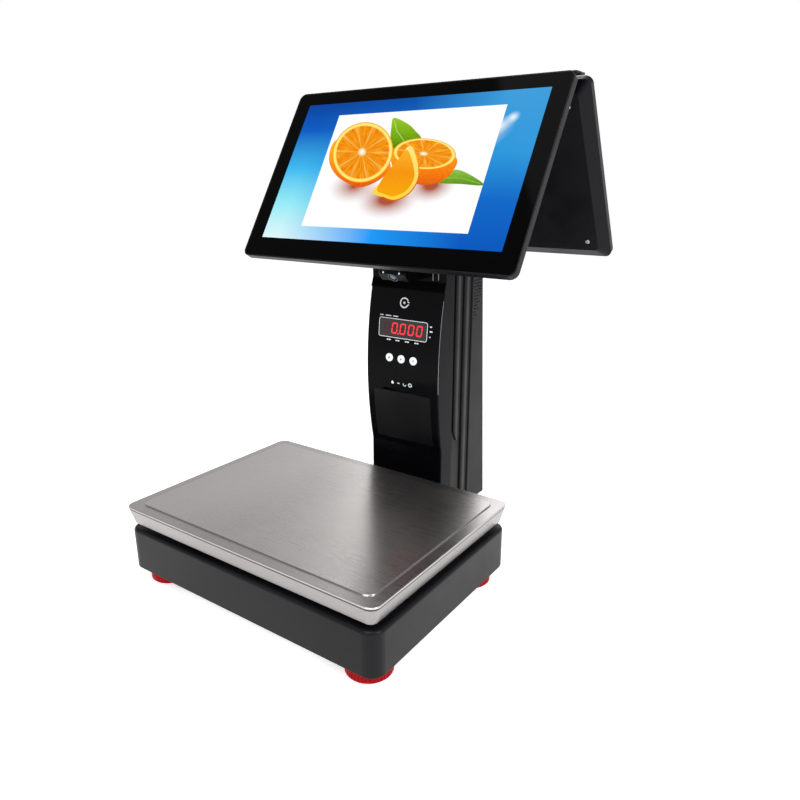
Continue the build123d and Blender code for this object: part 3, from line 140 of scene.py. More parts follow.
class Finish(NodeTree):
    """A procedural material, built on one Principled surface."""

    def __init__(self, name, colour, roughness, metallic=0.0, specular=0.5):
        self.name = name
        self.material = bpy.data.materials.new(name)
        self.material.use_nodes = True
        super().__init__(self.material.node_tree)
        self.surface = self.tree.nodes["Principled BSDF"]
        self.put("Base Color", colour)
        self.put("Roughness", roughness)
        self.put("Metallic", metallic)
        self.put("Specular IOR Level", specular)
        self.place = self.add("ShaderNodeTexCoord").outputs["Object"]
        self.normal = None

    def put(self, name, value):
        """Feed one of the surface's inputs."""
        self.feed(self.surface.inputs[name], value)

    def stretched(self, scale):
        """Object coordinates scaled along each axis, so that a noise on them runs long or short."""
        inputs = {"Vector": self.place, "Scale": scale}
        return self.add("ShaderNodeMapping", inputs).outputs["Vector"]

    def noise(self, scale, detail=4.0, stretch=(1, 1, 1), distortion=0.0):
        """Grain with a number of lumps per metre, stretched along the axes."""
        vector = self.stretched(stretch)
        inputs = {"Vector": vector, "Scale": scale, "Detail": detail, "Distortion": distortion}
        return self.add("ShaderNodeTexNoise", inputs).outputs["Fac"]

    def spot(self, x, y, reach_x, reach_y, share, turn=0.0):
        """Soft ellipse around a point, in millimetres: a share in its middle, nothing at its rim."""
        inputs = {
            "Vector": self.place,
            "Location": (x * MM, y * MM, 0),
            "Rotation": (0, 0, math.radians(turn)),
            "Scale": (reach_x * MM, reach_y * MM, 1),
        }
        patch = self.add("ShaderNodeMapping", inputs, vector_type="TEXTURE")
        place = {"Vector": patch.outputs["Vector"]}
        ball = self.add("ShaderNodeTexGradient", place, gradient_type="SPHERICAL")
        return self.times(self.math("POWER", ball.outputs["Fac"], 1.3), share)

    def math(self, operation, first, second=0.0, third=0.0):
        return self.add("ShaderNodeMath", {0: first, 1: second, 2: third}, operation=operation).outputs[0]

    def times(self, first, second):
        return self.math("MULTIPLY", first, second)

    def distance(self, first, second):
        """Length of a vector that has two components."""
        squared = self.times(second, second)
        return self.math("SQRT", self.math("MULTIPLY_ADD", first, first, squared))

    def spread(self, source, low, high, start=0.3, end=0.7):
        """A value from low to high as the source runs from start to end."""
        inputs = {"Value": source, "From Min": start, "From Max": end, "To Min": low, "To Max": high}
        return self.add("ShaderNodeMapRange", inputs).outputs["Result"]

    def share(self, source, start, end):
        """From 0 to 1 as the source runs from start to end."""
        return self.spread(source, 0, 1, start, end)

    def mix(self, share, first, second):
        """Blend two colours by a share."""
        return self.add("ShaderNodeMix", {0: share, 6: first, 7: second}, data_type="RGBA").outputs[2]

    def roughen(self, source, low, high):
        """Vary the roughness from low to high with a source."""
        self.put("Roughness", self.spread(source, low, high))

    def tones(self, source, first, second, start=0.35, end=0.65):
        """Colour the surface from one tone to another as the source runs from start to end."""
        self.put("Base Color", self.ramp(source, (start, first), (end, second)))

    def glow(self, colour, strength=1.0):
        """Give off light of a colour."""
        self.put("Emission Color", colour)
        self.put("Emission Strength", strength)

    def soften(self, radius):
        """Round every edge a little, as moulded and bent edges are."""
        self.normal = self.add("ShaderNodeBevel", {"Radius": radius}, samples=4).outputs["Normal"]
        self.put("Normal", self.normal)

    def bump(self, height, distance, strength=1.0):
        """Relief of a real height in metres, on top of what is there."""
        inputs = {"Distance": distance, "Strength": strength, "Height": height}
        if self.normal is not None:
            inputs["Normal"] = self.normal
        self.normal = self.add("ShaderNodeBump", inputs).outputs["Normal"]
        self.put("Normal", self.normal)

    def worn_and_highlit_edges(self, amount, lighter):
        """Lighter colour on the edges, where the rounded normal leaves the flat one: rubbed wear, and a
        painted edge highlight.
        """
        rounded = self.add("ShaderNodeBevel", {"Radius": 0.0012}, samples=4).outputs["Normal"]
        flat = self.add("ShaderNodeNewGeometry").outputs["Normal"]
        dot = self.add("ShaderNodeVectorMath", {0: rounded, 1: flat}, operation="DOT_PRODUCT")
        edge = self.spread(dot.outputs["Value"], amount, 0.0, 0.90, 0.985)
        patchy = self.spread(self.noise(220, 5), 0.2, 1.0, 0.35, 0.65)
        self.put("Base Color", self.mix(self.times(edge, patchy), self.base_colour(), lighter))

    def base_colour(self):
        """The socket that colours the surface so far."""
        return self.surface.inputs["Base Color"].links[0].from_socket


def brushed_steel(name, colour, along, low, high, streak=900):
    """Sheet steel brushed along one axis, with a roughness between low and high."""
    finish = Finish(name, colour, (low + high) / 2, metallic=1.0)
    finish.soften(0.0004)
    stretch = [1.0, 1.0, 1.0]
    stretch[along] = 0.012
    streaks = finish.noise(streak, 6, stretch)
    cloud = finish.noise(9, 3)
    rough = finish.math("ADD", finish.times(streaks, 0.7), finish.times(cloud, 0.3))
    finish.roughen(rough, low, high)
    finish.bump(streaks, 0.000006, 0.5)
    return finish


def pan_steel():
    """Brushed pan whose side is painted darker than the top as shade, with a painted shadow line under the
    rim and painted shade on the step around the top.
    """
    finish = brushed_steel("pan_steel", srgb(172, 168, 165), 0, 0.24, 0.34, 2600)
    smears = finish.noise(4, 3, distortion=0.6)
    top_tone = finish.ramp(smears, (0.35, srgb(200, 196, 194)), (0.65, srgb(210, 206, 204)))
    height = finish.axes(finish.place)["Z"]
    side_low, side_high = 0.088, 0.096
    step_low, step_high = 0.0963, 0.0980
    rise = finish.share(height, side_low, side_high)
    # The side is painted darker than the top as shade, the dark band under the rim is a painted shadow line,
    # and the step around the top is painted darker as shade.
    painted_skirt_shade, painted_seam_shadow = srgb(146, 143, 142), srgb(34, 34, 36)
    side_with_painted_shade = finish.ramp(rise, (0.0, painted_skirt_shade), (0.60, painted_skirt_shade), (0.66, painted_seam_shadow), (0.80, painted_seam_shadow), (0.88, painted_skirt_shade))
    step = finish.share(height, step_low, step_high)
    painted_step_shade = finish.times(finish.times(step, finish.math("SUBTRACT", 1.0, step)), 3.2)
    shaded_top = finish.mix(painted_step_shade, top_tone, srgb(96, 95, 95))
    finish.put("Base Color", finish.mix(finish.share(rise, 0.88, 0.98), side_with_painted_shade, shaded_top))
    return finish


def cast_alloy():
    finish = Finish("cast_alloy", srgb(150, 152, 155), 0.5, metallic=0.9)
    finish.soften(0.0005)
    finish.bump(finish.noise(1400, 3), 0.00008)
    finish.roughen(finish.noise(60, 3), 0.4, 0.6)
    return finish


def zinc_steel():
    finish = Finish("zinc_steel", srgb(176, 178, 180), 0.3, metallic=1.0)
    finish.soften(0.0003)
    patches = finish.noise(180, 4)
    finish.tones(patches, srgb(160, 162, 166), srgb(190, 191, 190))
    finish.roughen(patches, 0.24, 0.42)
    finish.bump(finish.noise(900, 4, (1, 1, 0.05)), 0.00002)
    return finish


def galvanised_sheet():
    """Chassis steel with the spangle of hot zinc."""
    finish = Finish("chassis_steel", srgb(150, 153, 156), 0.38, metallic=1.0)
    spangle = finish.add("ShaderNodeTexVoronoi", {"Vector": finish.place, "Scale": 130})
    tone = finish.add("ShaderNodeSeparateColor", {"Color": spangle.outputs["Color"]}).outputs[0]
    finish.tones(tone, srgb(132, 136, 140), srgb(168, 171, 174), 0.0, 1.0)
    finish.roughen(tone, 0.32, 0.46)
    return finish


def rubber(name, colour):
    finish = Finish(name, colour, 0.75, specular=0.3)
    finish.soften(0.0004)
    finish.bump(finish.noise(1800, 3), 0.00006)
    dust = finish.noise(45, 4)
    finish.tones(dust, colour, [channel + 0.03 for channel in colour], 0.45, 0.75)
    finish.roughen(dust, 0.65, 0.85)
    return finish


def painted_casting():
    """Charcoal paint with orange peel and a fine texture."""
    finish = Finish("base_paint", srgb(16, 15, 18), 0.3, specular=0.13)
    finish.soften(0.0012)
    orange_peel = finish.noise(260, 2)
    finish.bump(orange_peel, 0.00005, 0.6)
    finish.bump(finish.noise(2600, 2), 0.000012, 0.6)
    finish.roughen(finish.noise(14, 4), 0.28, 0.40)
    finish.tones(finish.noise(7, 3), srgb(13, 13, 15), srgb(18, 17, 20))
    # Lighter edges: rubbed wear, and a painted edge highlight.
    finish.worn_and_highlit_edges(0.25, srgb(52, 51, 54))
    return finish


def knob_plastic():
    finish = Finish("knob_red", srgb(150, 3, 12), 0.4, specular=0.06)
    finish.soften(0.0003)
    finish.put("Subsurface Weight", 0.05)
    finish.put("Subsurface Radius", (0.004, 0.001, 0.001))
    finish.tones(finish.noise(90, 4), srgb(142, 2, 10), srgb(160, 5, 16), 0.3, 0.7)
    finish.bump(finish.noise(1500, 3), 0.00002)
    finish.roughen(finish.noise(150, 4), 0.24, 0.38)
    return finish


def vial_plastic():
    finish = Finish("vial_clear", srgb(208, 226, 120), 0.08, specular=0.6)
    finish.put("Coat Weight", 0.8)
    depth = finish.noise(240, 2)
    finish.tones(depth, srgb(196, 218, 96), srgb(220, 234, 140), 0.3, 0.7)
    finish.roughen(depth, 0.05, 0.12)
    return finish


def grained_plastic(name, dark, light, grain, relief, low, high, edge_wear_and_highlight):
    """Moulded plastic with a spark-eroded grain and a roughness between low and high."""
    finish = Finish(name, dark, (low + high) / 2, specular=0.14)
    finish.soften(0.0006)
    finish.bump(finish.noise(grain, 3), relief)
    finish.roughen(finish.noise(24, 4), low, high)
    finish.tones(finish.noise(11, 3), dark, light)
    # Lighter edges: rubbed wear, and a painted edge highlight.
    finish.worn_and_highlit_edges(edge_wear_and_highlight, [channel * 1.9 + 0.01 for channel in light])
    return finish


def column_plastic():
    """Grained plastic whose side ribs are crowned across their width; ahead of the ribs it is painted
    darker, as shade.
    """
    finish = grained_plastic("column_plastic", srgb(13, 13, 15), srgb(17, 17, 19), 900, 0.00012,
                             0.32, 0.42, 0.25)
    axes = finish.axes(finish.place)
    band_start, band_end = 0.082, 0.086
    beside_shell = 0.0556
    # Ahead of the ribs the shell is painted darker, as shade, and reflects less.
    behind_painted_shade = finish.share(axes["Y"], band_start, band_end)
    finish.put("Base Color", finish.mix(behind_painted_shade, srgb(8, 8, 11), finish.base_colour()))
    finish.put("Specular IOR Level", finish.spread(behind_painted_shade, 0.03, 0.11, 0, 1))
    outside = finish.math("GREATER_THAN", finish.math("ABSOLUTE", axes["X"]), beside_shell)
    crown = 0.0
    for middle, half_width in ((0.0905, 0.0066), (0.1120, 0.0071)):
        across = finish.math("DIVIDE", finish.math("SUBTRACT", axes["Y"], middle), half_width)
        rise = finish.math("MAXIMUM", finish.math("SUBTRACT", 1.0, finish.times(across, across)), 0.0)
        crown = finish.math("ADD", crown, finish.math("SQRT", rise))
    finish.bump(finish.times(crown, outside), 0.004)
    return finish


def gloss_black(name, colour, roughness, specular=0.35):
    """Polished black moulding or glass with faint dust and hairline scratches."""
    finish = Finish(name, colour, roughness, specular=specular)
    finish.soften(0.0005)
    dust = finish.noise(700, 6)
    finish.roughen(finish.noise(12, 5, distortion=0.8), roughness * 0.8, roughness * 1.5)
    finish.tones(dust, colour, [channel + 0.0012 for channel in colour], 0.55, 0.8)
    scratches = finish.noise(60, 2, (1, 26, 1), 1.5)
    finish.bump(scratches, 0.000002, 0.4)
    return finish


def printed_paper():
    """Label roll: the laps show as fine rings about the roll's axis on its wound edge."""
    lap = 0.0007
    finish = Finish("label_paper", srgb(240, 239, 234), 0.7, specular=0.2)
    low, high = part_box("label_roll")
    away = finish.add("ShaderNodeVectorMath", {0: finish.place, 1: (low + high) / 2}, operation="SUBTRACT")
    axes = finish.axes(away.outputs["Vector"])
    radius = finish.distance(axes["Z"], axes["Y"])
    wave = finish.math("SINE", finish.times(radius, 2 * math.pi / lap))
    finish.tones(finish.share(wave, -1, 1), srgb(222, 219, 210), srgb(246, 245, 240), 0.0, 1.0)
    finish.bump(wave, 0.00003)
    return finish


def core_card():
    finish = Finish("core_card", srgb(176, 142, 100), 0.8, specular=0.15)
    fibres = finish.noise(900, 5, (0.1, 1, 1))
    finish.tones(fibres, srgb(150, 118, 80), srgb(192, 160, 118), 0.3, 0.7)
    finish.bump(fibres, 0.00008)
    return finish


def circuit_board():
    """Green solder mask over rows of pads and tracks."""
    finish = Finish("board_green", srgb(22, 78, 46), 0.35)
    cells = finish.add("ShaderNodeTexBrick", {
        "Vector": finish.stretched((1, 1, 1)),
        "Scale": 120,
        "Color1": srgb(20, 76, 44),
        "Color2": srgb(26, 90, 52),
        "Mortar": srgb(44, 116, 74),
    })
    finish.put("Base Color", cells.outputs["Color"])
    finish.bump(finish.noise(700, 2), 0.00003)
    return finish


def key_plastic():
    finish = Finish("key_white", srgb(232, 236, 238), 0.32)
    finish.soften(0.0004)
    finish.bump(finish.noise(1600, 3), 0.00002)
    tone = finish.noise(160, 3)
    finish.tones(tone, srgb(226, 230, 232), srgb(240, 243, 245))
    finish.roughen(tone, 0.26, 0.38)
    return finish


def gear_nylon():
    finish = Finish("gear_nylon", srgb(226, 222, 208), 0.45, specular=0.4)
    finish.soften(0.0002)
    finish.put("Subsurface Weight", 0.15)
    finish.put("Subsurface Radius", (0.002, 0.002, 0.0015))
    finish.tones(finish.noise(300, 3), srgb(216, 211, 194), srgb(232, 229, 217), 0.3, 0.7)
    finish.bump(finish.noise(1200, 3), 0.00003)
    return finish


def tinted_window():
    finish = Finish("window_tint", srgb(18, 4, 6), 0.06, specular=0.4)
    finish.put("Coat Weight", 0.4)
    finish.put("Coat Roughness", 0.03)
    finish.roughen(finish.noise(300, 5), 0.05, 0.12)
    finish.tones(finish.noise(40, 3), srgb(14, 3, 5), srgb(24, 5, 8), 0.3, 0.7)
    return finish


def lens_glass():
    finish = Finish("lens_glass", srgb(6, 8, 16), 0.03, specular=0.8)
    finish.put("Coat Weight", 1.0)
    finish.put("Coat Roughness", 0.02)
    finish.put("Coat Tint", srgb(150, 170, 255))
    finish.roughen(finish.noise(900, 4), 0.02, 0.08)
    return finish


def slot_finishes():
    """One finish for each of the record's material slots, by the slot's name."""
    finishes = (
        pan_steel(), cast_alloy(), zinc_steel(), galvanised_sheet(),
        rubber("buffer_rubber", srgb(38, 38, 40)),
        rubber("platen_rubber", srgb(46, 46, 50)),
        painted_casting(), knob_plastic(), vial_plastic(), column_plastic(),
        grained_plastic("door_black", srgb(12, 12, 14), srgb(15, 15, 17), 1300, 0.00003, 0.26, 0.36, 0.2),
        grained_plastic("socket_black", srgb(24, 24, 26), srgb(30, 30, 32), 1200, 0.00005, 0.40, 0.52, 0.15),
        grained_plastic("display_plastic", srgb(6, 6, 10), srgb(8, 8, 13), 1100, 0.00005, 0.28, 0.40, 0.5),
        gloss_black("console_black", srgb(6, 6, 8), 0.14, 0.05),
        gloss_black("display_glass", srgb(3, 3, 3), 0.05, 0.03),
        tinted_window(), circuit_board(), key_plastic(), gear_nylon(), printed_paper(), core_card(),
        brushed_steel("panel_metal", srgb(120, 122, 126), 0, 0.35, 0.5, 600),
        lens_glass(),
    )
    return {finish.name: finish for finish in finishes}


def dress_nodes(finishes):
    """Give each CAD node the finish of its material slot."""
    for subpart in frame["record"]["subparts"]:
        node = nodes[subpart["node"]]
        node.data.materials.clear()
        node.data.materials.append(finishes[subpart["material_slot"]].material)


# ---- mesh tools, in millimetres
INK = 0.05                      # height of a printed mark
FRONT_START = -50               # y from which a ray looks back at the column's front
REAR_START = 300                # y from which a ray looks forward at the column's back


def rounded_rectangle(width, height, radius, steps=6):
    """Outline of a rounded rectangle about the origin, anticlockwise."""
    points = []
    for corner, (side_x, side_y) in enumerate(((1, 1), (-1, 1), (-1, -1), (1, -1))):
        middle_x = side_x * (width / 2 - radius)
        middle_y = side_y * (height / 2 - radius)
        for step in range(steps + 1):
            angle = math.radians(90 * corner + 90 * step / steps)
            points.append((middle_x + radius * math.cos(angle), middle_y + radius * math.sin(angle)))
    return points


def circle(radius, centre=(0, 0), count=32, start=0.0, sweep=360.0):
    """Points around a circle, or along part of it."""
    closed = abs(sweep) >= 360
    last = count if closed else count - 1
    angles = [math.radians(start + sweep * index / last) for index in range(count)]
    return [(centre[0] + radius * math.cos(a), centre[1] + radius * math.sin(a)) for a in angles]


def curve(corners, steps=6):
    """Closed curve through a few points."""
    points = []
    count = len(corners)
    for index in range(count):
        before, here, there, after = (Vector(corners[(index + k) % count]) for k in (-1, 0, 1, 2))
        for step in range(steps):
            t = step / steps
            point = 0.5 * (
                2 * here + (there - before) * t
                + (2 * before - 5 * here + 4 * there - after) * t**2
                + (3 * here - before - 3 * there + after) * t**3
            )
            points.append(tuple(point))
    return points


def swept(points, width):
    """Outline of a strip of a width that follows a line of points."""
    line = [Vector(p) for p in points]
    left, right = [], []
    for index, here in enumerate(line):
        ahead = (line[min(index + 1, len(line) - 1)] - line[max(index - 1, 0)]).normalized()
        side = Vector((-ahead.y, ahead.x)) * width / 2
        left.append(tuple(here + side))
        right.append(tuple(here - side))
    return left + right[::-1]


def bar(length, width, x=0.0, y=0.0):
    """Outline of a straight bar that lies across, with its middle at x and y."""
    return swept([(x - length / 2, y), (x + length / 2, y)], width)


def at_height(outline, height):
    return [(x, y, height) for x, y in outline]


class Shapes:
    """Collects solids in a piece's own coordinates: x across, y up, z out of the surface."""

    def __init__(self, *inked):
        """Start with printed ink in the given outlines."""
        self.points = []
        self.faces = []
        for outline in inked:
            self.plate(outline)

    def layers(self, rings, loop=False):
        """Add a closed solid through rings of equal counts, capped at both ends or joined into a loop."""
        start = len(self.points)
        count = len(rings[0])
        for ring in rings:
            self.points += ring
        for level in range(len(rings) if loop else len(rings) - 1):
            low = start + level * count
            high = start + (level + 1) % len(rings) * count
            for index in range(count):
                beside = (index + 1) % count
                self.faces.append((low + index, low + beside, high + beside, high + index))
        if not loop:
            top = start + (len(rings) - 1) * count
            self.faces.append(tuple(reversed(range(start, start + count))))
            self.faces.append(tuple(range(top, top + count)))
        return self

    def plate(self, outline, low=-INK, high=INK):
        """Flat plate between two heights."""
        return self.layers([at_height(outline, low), at_height(outline, high)])

    def rim(self, outer, inner, low=-INK, high=INK):
        """Flat frame between two outlines of equal counts."""
        section = ((outer, low), (outer, high), (inner, high), (inner, low))
        return self.layers([at_height(outline, height) for outline, height in section], loop=True)

    def lathe(self, profile, count=32, loop=False):
        """Solid turned about the z direction; the profile runs (radius, height) from the base to the tip."""
        rings = [at_height(circle(radius, count=count), height) for radius, height in profile]
        return self.layers(rings, loop)

    def piece(self, name, place, finish, slot, body="base", smooth=False):
        """Make the mesh object in metres, riding on a body."""
        mesh = bpy.data.meshes.new(name)
        mesh.from_pydata([(x * MM, y * MM, z * MM) for x, y, z in self.points], [], self.faces)
        mesh.validate()
        mesh.update()
        if smooth:
            mesh.shade_smooth()
            mesh.set_sharp_from_angle(angle=math.radians(35))
        mesh.materials.append(finish.material)
        thing = new_object(name, mesh)
        thing.matrix_world = place
        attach(thing, body)


def surface_place(origin, outward):
    """Placement on a surface: x across, y up the surface (or to the rear when it lies flat), z out of it."""
    z_axis = Vector(outward).normalized()
    up = Vector((0, 1, 0)) if abs(z_axis.z) > 0.95 else Vector((0, 0, 1))
    y_axis = (up - up.dot(z_axis) * z_axis).normalized()
    place = Matrix((y_axis.cross(z_axis), y_axis, z_axis)).transposed().to_4x4()
    place.translation = origin
    return place


def span(place, points):
    """Lowest and highest corners of some points in a placement's own coordinates."""
    inverse = place.inverted()
    spots = [inverse @ point for point in points]
    low = Vector([min(spot[axis] for spot in spots) for axis in range(3)])
    high = Vector([max(spot[axis] for spot in spots) for axis in range(3)])
    return low, high


def flat_face(node, direction):
    """Placement in the middle of a node's largest flat face that looks a given way."""
    mesh = nodes[node].data
    direction = Vector(direction).normalized()
    faces = {}
    for polygon in mesh.polygons:
        if polygon.normal.dot(direction) > 0.9:
            depth = round(polygon.normal.dot(polygon.center), 5)
            key = (*(round(part, 3) for part in polygon.normal), depth)
            faces.setdefault(key, []).append(polygon)
    biggest = max(faces.values(), key=lambda group: sum(polygon.area for polygon in group))
    place = surface_place(biggest[0].center, biggest[0].normal)
    low, high = span(place, [mesh.vertices[v].co for polygon in biggest for v in polygon.vertices])
    middle = (low + high) / 2
    middle.z = 0
    place.translation = place @ middle
    return place


def tree_of(node):
    """Search tree over a CAD node, to lay small things onto its surface."""
    mesh = nodes[node].data
    points = [vertex.co.copy() for vertex in mesh.vertices]
    return BVHTree.FromPolygons(points, [tuple(polygon.vertices) for polygon in mesh.polygons])


def on_surface(tree, start, direction):
    """Placement where a ray from a point in millimetres meets a surface."""
    spot, normal, _, _ = tree.ray_cast(Vector(start) * MM, Vector(direction))
    if spot is None:
        raise ValueError(f"nothing along {direction} from {start}")
    if normal.dot(Vector(direction)) > 0:
        normal = -normal
    return surface_place(spot, normal)


def shifted(place, x=0.0, y=0.0, z=0.0, turn=0.0):
    """A placement moved in millimetres within its own surface and turned about its outward axis."""
    move = Matrix.Translation((x * MM, y * MM, z * MM))
    return place @ move @ Matrix.Rotation(math.radians(turn), 4, "Z")


def box_mm(node):
    """A node's lowest and highest corners at rest, in millimetres."""
    low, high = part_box(node)
    return low / MM, high / MM


# ---- display picture
PICTURE_W = 344.2
PICTURE_H = 193.5
PICTURE_RISE = 4.15             # picture centre above the middle of the glass
LAYER = 0.03                    # height of each layer of the picture above the glass


def wallpaper_finish():
    """Blue desktop: deep at the top left, glowing at the bottom left, with a lens flare at the right."""
    finish = Finish("wallpaper", srgb(2, 3, 5), 0.12, specular=0.04)
    axes = finish.axes(finish.place)
    up = finish.share(axes["Y"], -PICTURE_H / 2 * MM, PICTURE_H / 2 * MM)
    across = finish.share(axes["X"], -PICTURE_W / 2 * MM, PICTURE_W / 2 * MM)
    left = finish.ramp(up, (0.0, srgb(222, 248, 250)), (0.25, srgb(150, 236, 246)),
                       (0.5, srgb(64, 188, 240)), (0.8, srgb(6, 92, 194)), (1.0, srgb(2, 66, 160)))
    centre = finish.ramp(up, (0.0, srgb(30, 156, 250)), (0.5, srgb(20, 130, 220)), (0.95, srgb(8, 86, 176)),
                         (1.0, srgb(10, 80, 166)))
    right = finish.ramp(up, (0.0, srgb(6, 88, 190)), (0.3, srgb(14, 104, 200)), (0.6, srgb(44, 152, 220)),
                        (1.0, srgb(58, 156, 218)))
    near_left = finish.share(across, 0.08, 0.5)
    near_right = finish.share(across, 0.5, 0.85)
    colour = finish.mix(near_right, finish.mix(near_left, left, centre), right)
    flare = ((137, 62, 9, 8, 1.0, 35), (123, 50, 26, 11, 0.95, 38), (108, 30, 46, 16, 0.55, 40))
    for spot in flare:
        colour = finish.mix(finish.spot(*spot), colour, srgb(240, 252, 255))
    finish.glow(colour)
    return finish


def window_finish():
    """White page with soft warm reflections under the fruit."""
    finish = Finish("page_white", srgb(6, 6, 6), 0.12, specular=0.04)
    colour = srgb(255, 255, 255)
    for spot in ((-50, -23, 40, 24, 1.1), (6, -40, 46, 26, 1.4), (60, -21, 34, 24, 1.4)):
        colour = finish.mix(finish.spot(*spot), colour, srgb(176, 84, 54))
    finish.glow(colour)
    return finish


def flesh_finish():
    """Cut face of an orange on a unit disc: segments with pale walls, radial juice cells, a pale core."""
    finish = Finish("orange_flesh", srgb(8, 4, 1), 0.2, specular=0.04)
    axes = finish.axes(finish.place)
    angle = finish.math("ARCTAN2", axes["Y"], axes["X"])
    radius = finish.distance(axes["Y"], axes["X"])
    turned, outward = finish.times(angle, 16.0), finish.times(radius, 3.0)
    around = finish.add("ShaderNodeCombineXYZ", {"X": turned, "Y": outward})
    inputs = {"Vector": around.outputs["Vector"], "Scale": 1.0, "Detail": 4.0}
    cells = finish.add("ShaderNodeTexNoise", inputs)
    tones = ((0.3, srgb(226, 108, 0)), (0.5, srgb(244, 144, 6)), (0.75, srgb(252, 184, 44)))
    juice = finish.ramp(cells.outputs["Fac"], *tones)
    wave = finish.math("ABSOLUTE", finish.math("COSINE", finish.times(angle, 5.0)))
    walls = finish.math("POWER", wave, 26.0)
    colour = finish.mix(finish.times(walls, 0.45), juice, srgb(255, 214, 110))
    core = finish.spread(radius, 1, 0, 0.05, 0.16)
    colour = finish.mix(core, colour, srgb(255, 250, 210))
    edge = finish.share(radius, 0.86, 0.9)
    colour = finish.mix(edge, colour, srgb(255, 236, 120))
    rind = finish.share(radius, 0.955, 0.985)
    finish.glow(finish.mix(rind, colour, srgb(250, 158, 16)))
    return finish


def shaded_finish(name, stops, low, high, texture=260):
    """Flat picture colour that shades from a low to a high y in millimetres, with a little texture."""
    finish = Finish(name, srgb(6, 4, 2), 0.2, specular=0.04)
    along = finish.share(finish.axes(finish.place)["Y"], low * MM, high * MM)
    pores = finish.spread(finish.noise(texture, 4), -0.10, 0.10)
    finish.glow(finish.ramp(finish.math("ADD", along, pores), *stops))
    return finish


def layer(name, level, place, finish, outline, body="front_display"):
    """One flat piece of the picture, lying a few layers above the glass."""
    shape = Shapes().plate(outline, (level - 1) * LAYER, level * LAYER)
    shape.piece(name, place, finish, "display_glass", body)


def disc(name, level, place, finish, half_long, half_short):
    """A cut fruit face: a disc that is 1 in its own coordinates, laid out as an ellipse."""
    stretch = Matrix.Diagonal((half_long * MM, half_short * MM, 1, 1))
    layer(name, level, place @ stretch, finish, circle(1 / MM, count=64))


def fruit_picture(place):
    """The picture on the operator's display: fruit halves, a wedge and two leaves on a white page."""
    rind_tones = ((0.0, srgb(226, 84, 10)), (0.45, srgb(250, 130, 8)), (1.0, srgb(254, 176, 28)))
    leaf_tones = ((0.0, srgb(60, 110, 12)), (0.5, srgb(116, 170, 16)), (1.0, srgb(150, 200, 40)))
    low_leaf_tones = ((0.0, srgb(84, 140, 24)), (0.5, srgb(120, 176, 50)), (1.0, srgb(160, 206, 96)))
    wedge_tones = ((0.0, srgb(250, 172, 6)), (0.5, srgb(246, 148, 8)), (1.0, srgb(250, 184, 40)))
    vein_tones = ((0.0, srgb(150, 196, 70)), (1.0, srgb(186, 222, 110)))
    pith_tones = ((0.0, srgb(255, 214, 60)), (1.0, srgb(255, 240, 150)))
    rind = shaded_finish("orange_rind", rind_tones, -26, 30)
    leaf = shaded_finish("leaf_green", leaf_tones, 20, 70)
    low_leaf = shaded_finish("leaf_green_low", low_leaf_tones, -22, 2)
    vein = shaded_finish("leaf_vein", vein_tones, -20, 60)
    flesh = flesh_finish()
    wedge_flesh = shaded_finish("wedge_flesh", wedge_tones, -40, 30, 420)
    pith = shaded_finish("orange_pith", pith_tones, -40, 60)
    page = [(-112, -78.5), (126.5, -78.5), (125, 78.5), (-114, 78.5)]
    leaf_upper = [(-25, 70), (-2, 61), (14, 50), (25, 39), (5, 33), (-13, 27), (-19, 40), (-24, 57)]
    leaf_lower = [(68, -17.5), (78, -6), (86, -1.5), (104, -7), (127, -20.5), (98, -19.5)]
    left_rind = [(-107, 40), (-105, 14), (-84, -8), (-53, -22), (-34, -23.5), (-12, -12), (-6, 6), (-40, 30),
                 (-80, 50)]
    right_rind = [(-9, 28), (-7, 10), (14, -12), (42, -20), (58, -20.5), (72, -16), (82, -6), (81, 14),
                  (36, 30)]
    wedge_back = [(11, 30), (23, 22), (34, 5), (40, -13), (36, -29), (26, -38), (14, -41), (-2, -37),
                  (-20, -30)]
    wedge_face = [(9, 25), (18, 18), (30, -1), (34, -14), (30, -27), (22, -33), (12, -36), (-1, -33),
                  (-13, -28), (-11, -13), (-3, 4), (3, 13)]
    layer("page", 2, place, window_finish(), page)
    layer("leaf_upper", 3, place, leaf, curve(leaf_upper))
    layer("leaf_lower", 3, place, low_leaf, curve(leaf_lower))
    layer("leaf_upper_vein", 4, place, vein, swept([(-23, 66), (-14, 52), (2, 37)], 0.9))
    layer("leaf_lower_vein", 4, place, vein, swept([(74, -12), (96, -12), (122, -19)], 0.8))
    layer("fruit_left_rind", 4, place, rind, curve(left_rind))
    disc("fruit_left_face", 5, shifted(place, -56, 24, turn=-31), flesh, 52, 38)
    layer("fruit_right_rind", 4, place, rind, curve(right_rind))
    disc("fruit_right_face", 5, shifted(place, 36, 19.5, turn=-9), flesh, 45, 19.5)
    layer("wedge_rind", 6, place, pith, curve(wedge_back + [(-8, -14), (2, 8)], 5))
    layer("wedge_face", 7, place, wedge_flesh, curve(wedge_face, 5))
    layer("wedge_skin", 7, place, rind, swept(curve(wedge_back, 5)[:-9], 1.6))


def display_pictures():
    """Lit wallpaper on both displays, and the fruit picture on the operator's."""
    wallpaper = wallpaper_finish()
    outline = rounded_rectangle(PICTURE_W, PICTURE_H, 0.5)
    for display, side in (("front", -1), ("rear", 1)):
        place = shifted(flat_face(f"{display}_display_glass", (0, side, 0.5)), 0, PICTURE_RISE)
        layer(f"{display}_wallpaper", 1, place, wallpaper, outline, f"{display}_display")
        if display == "front":
            fruit_picture(place)


# ---- console marks
def ink_finish(name, colour):
    """Screen-printed ink, slightly uneven."""
    finish = Finish(name, colour, 0.5, specular=0.3)
    thin = finish.noise(900, 4)
    finish.tones(thin, [channel * 0.82 for channel in colour], colour, 0.3, 0.6)
    finish.bump(thin, 0.00001)
    return finish


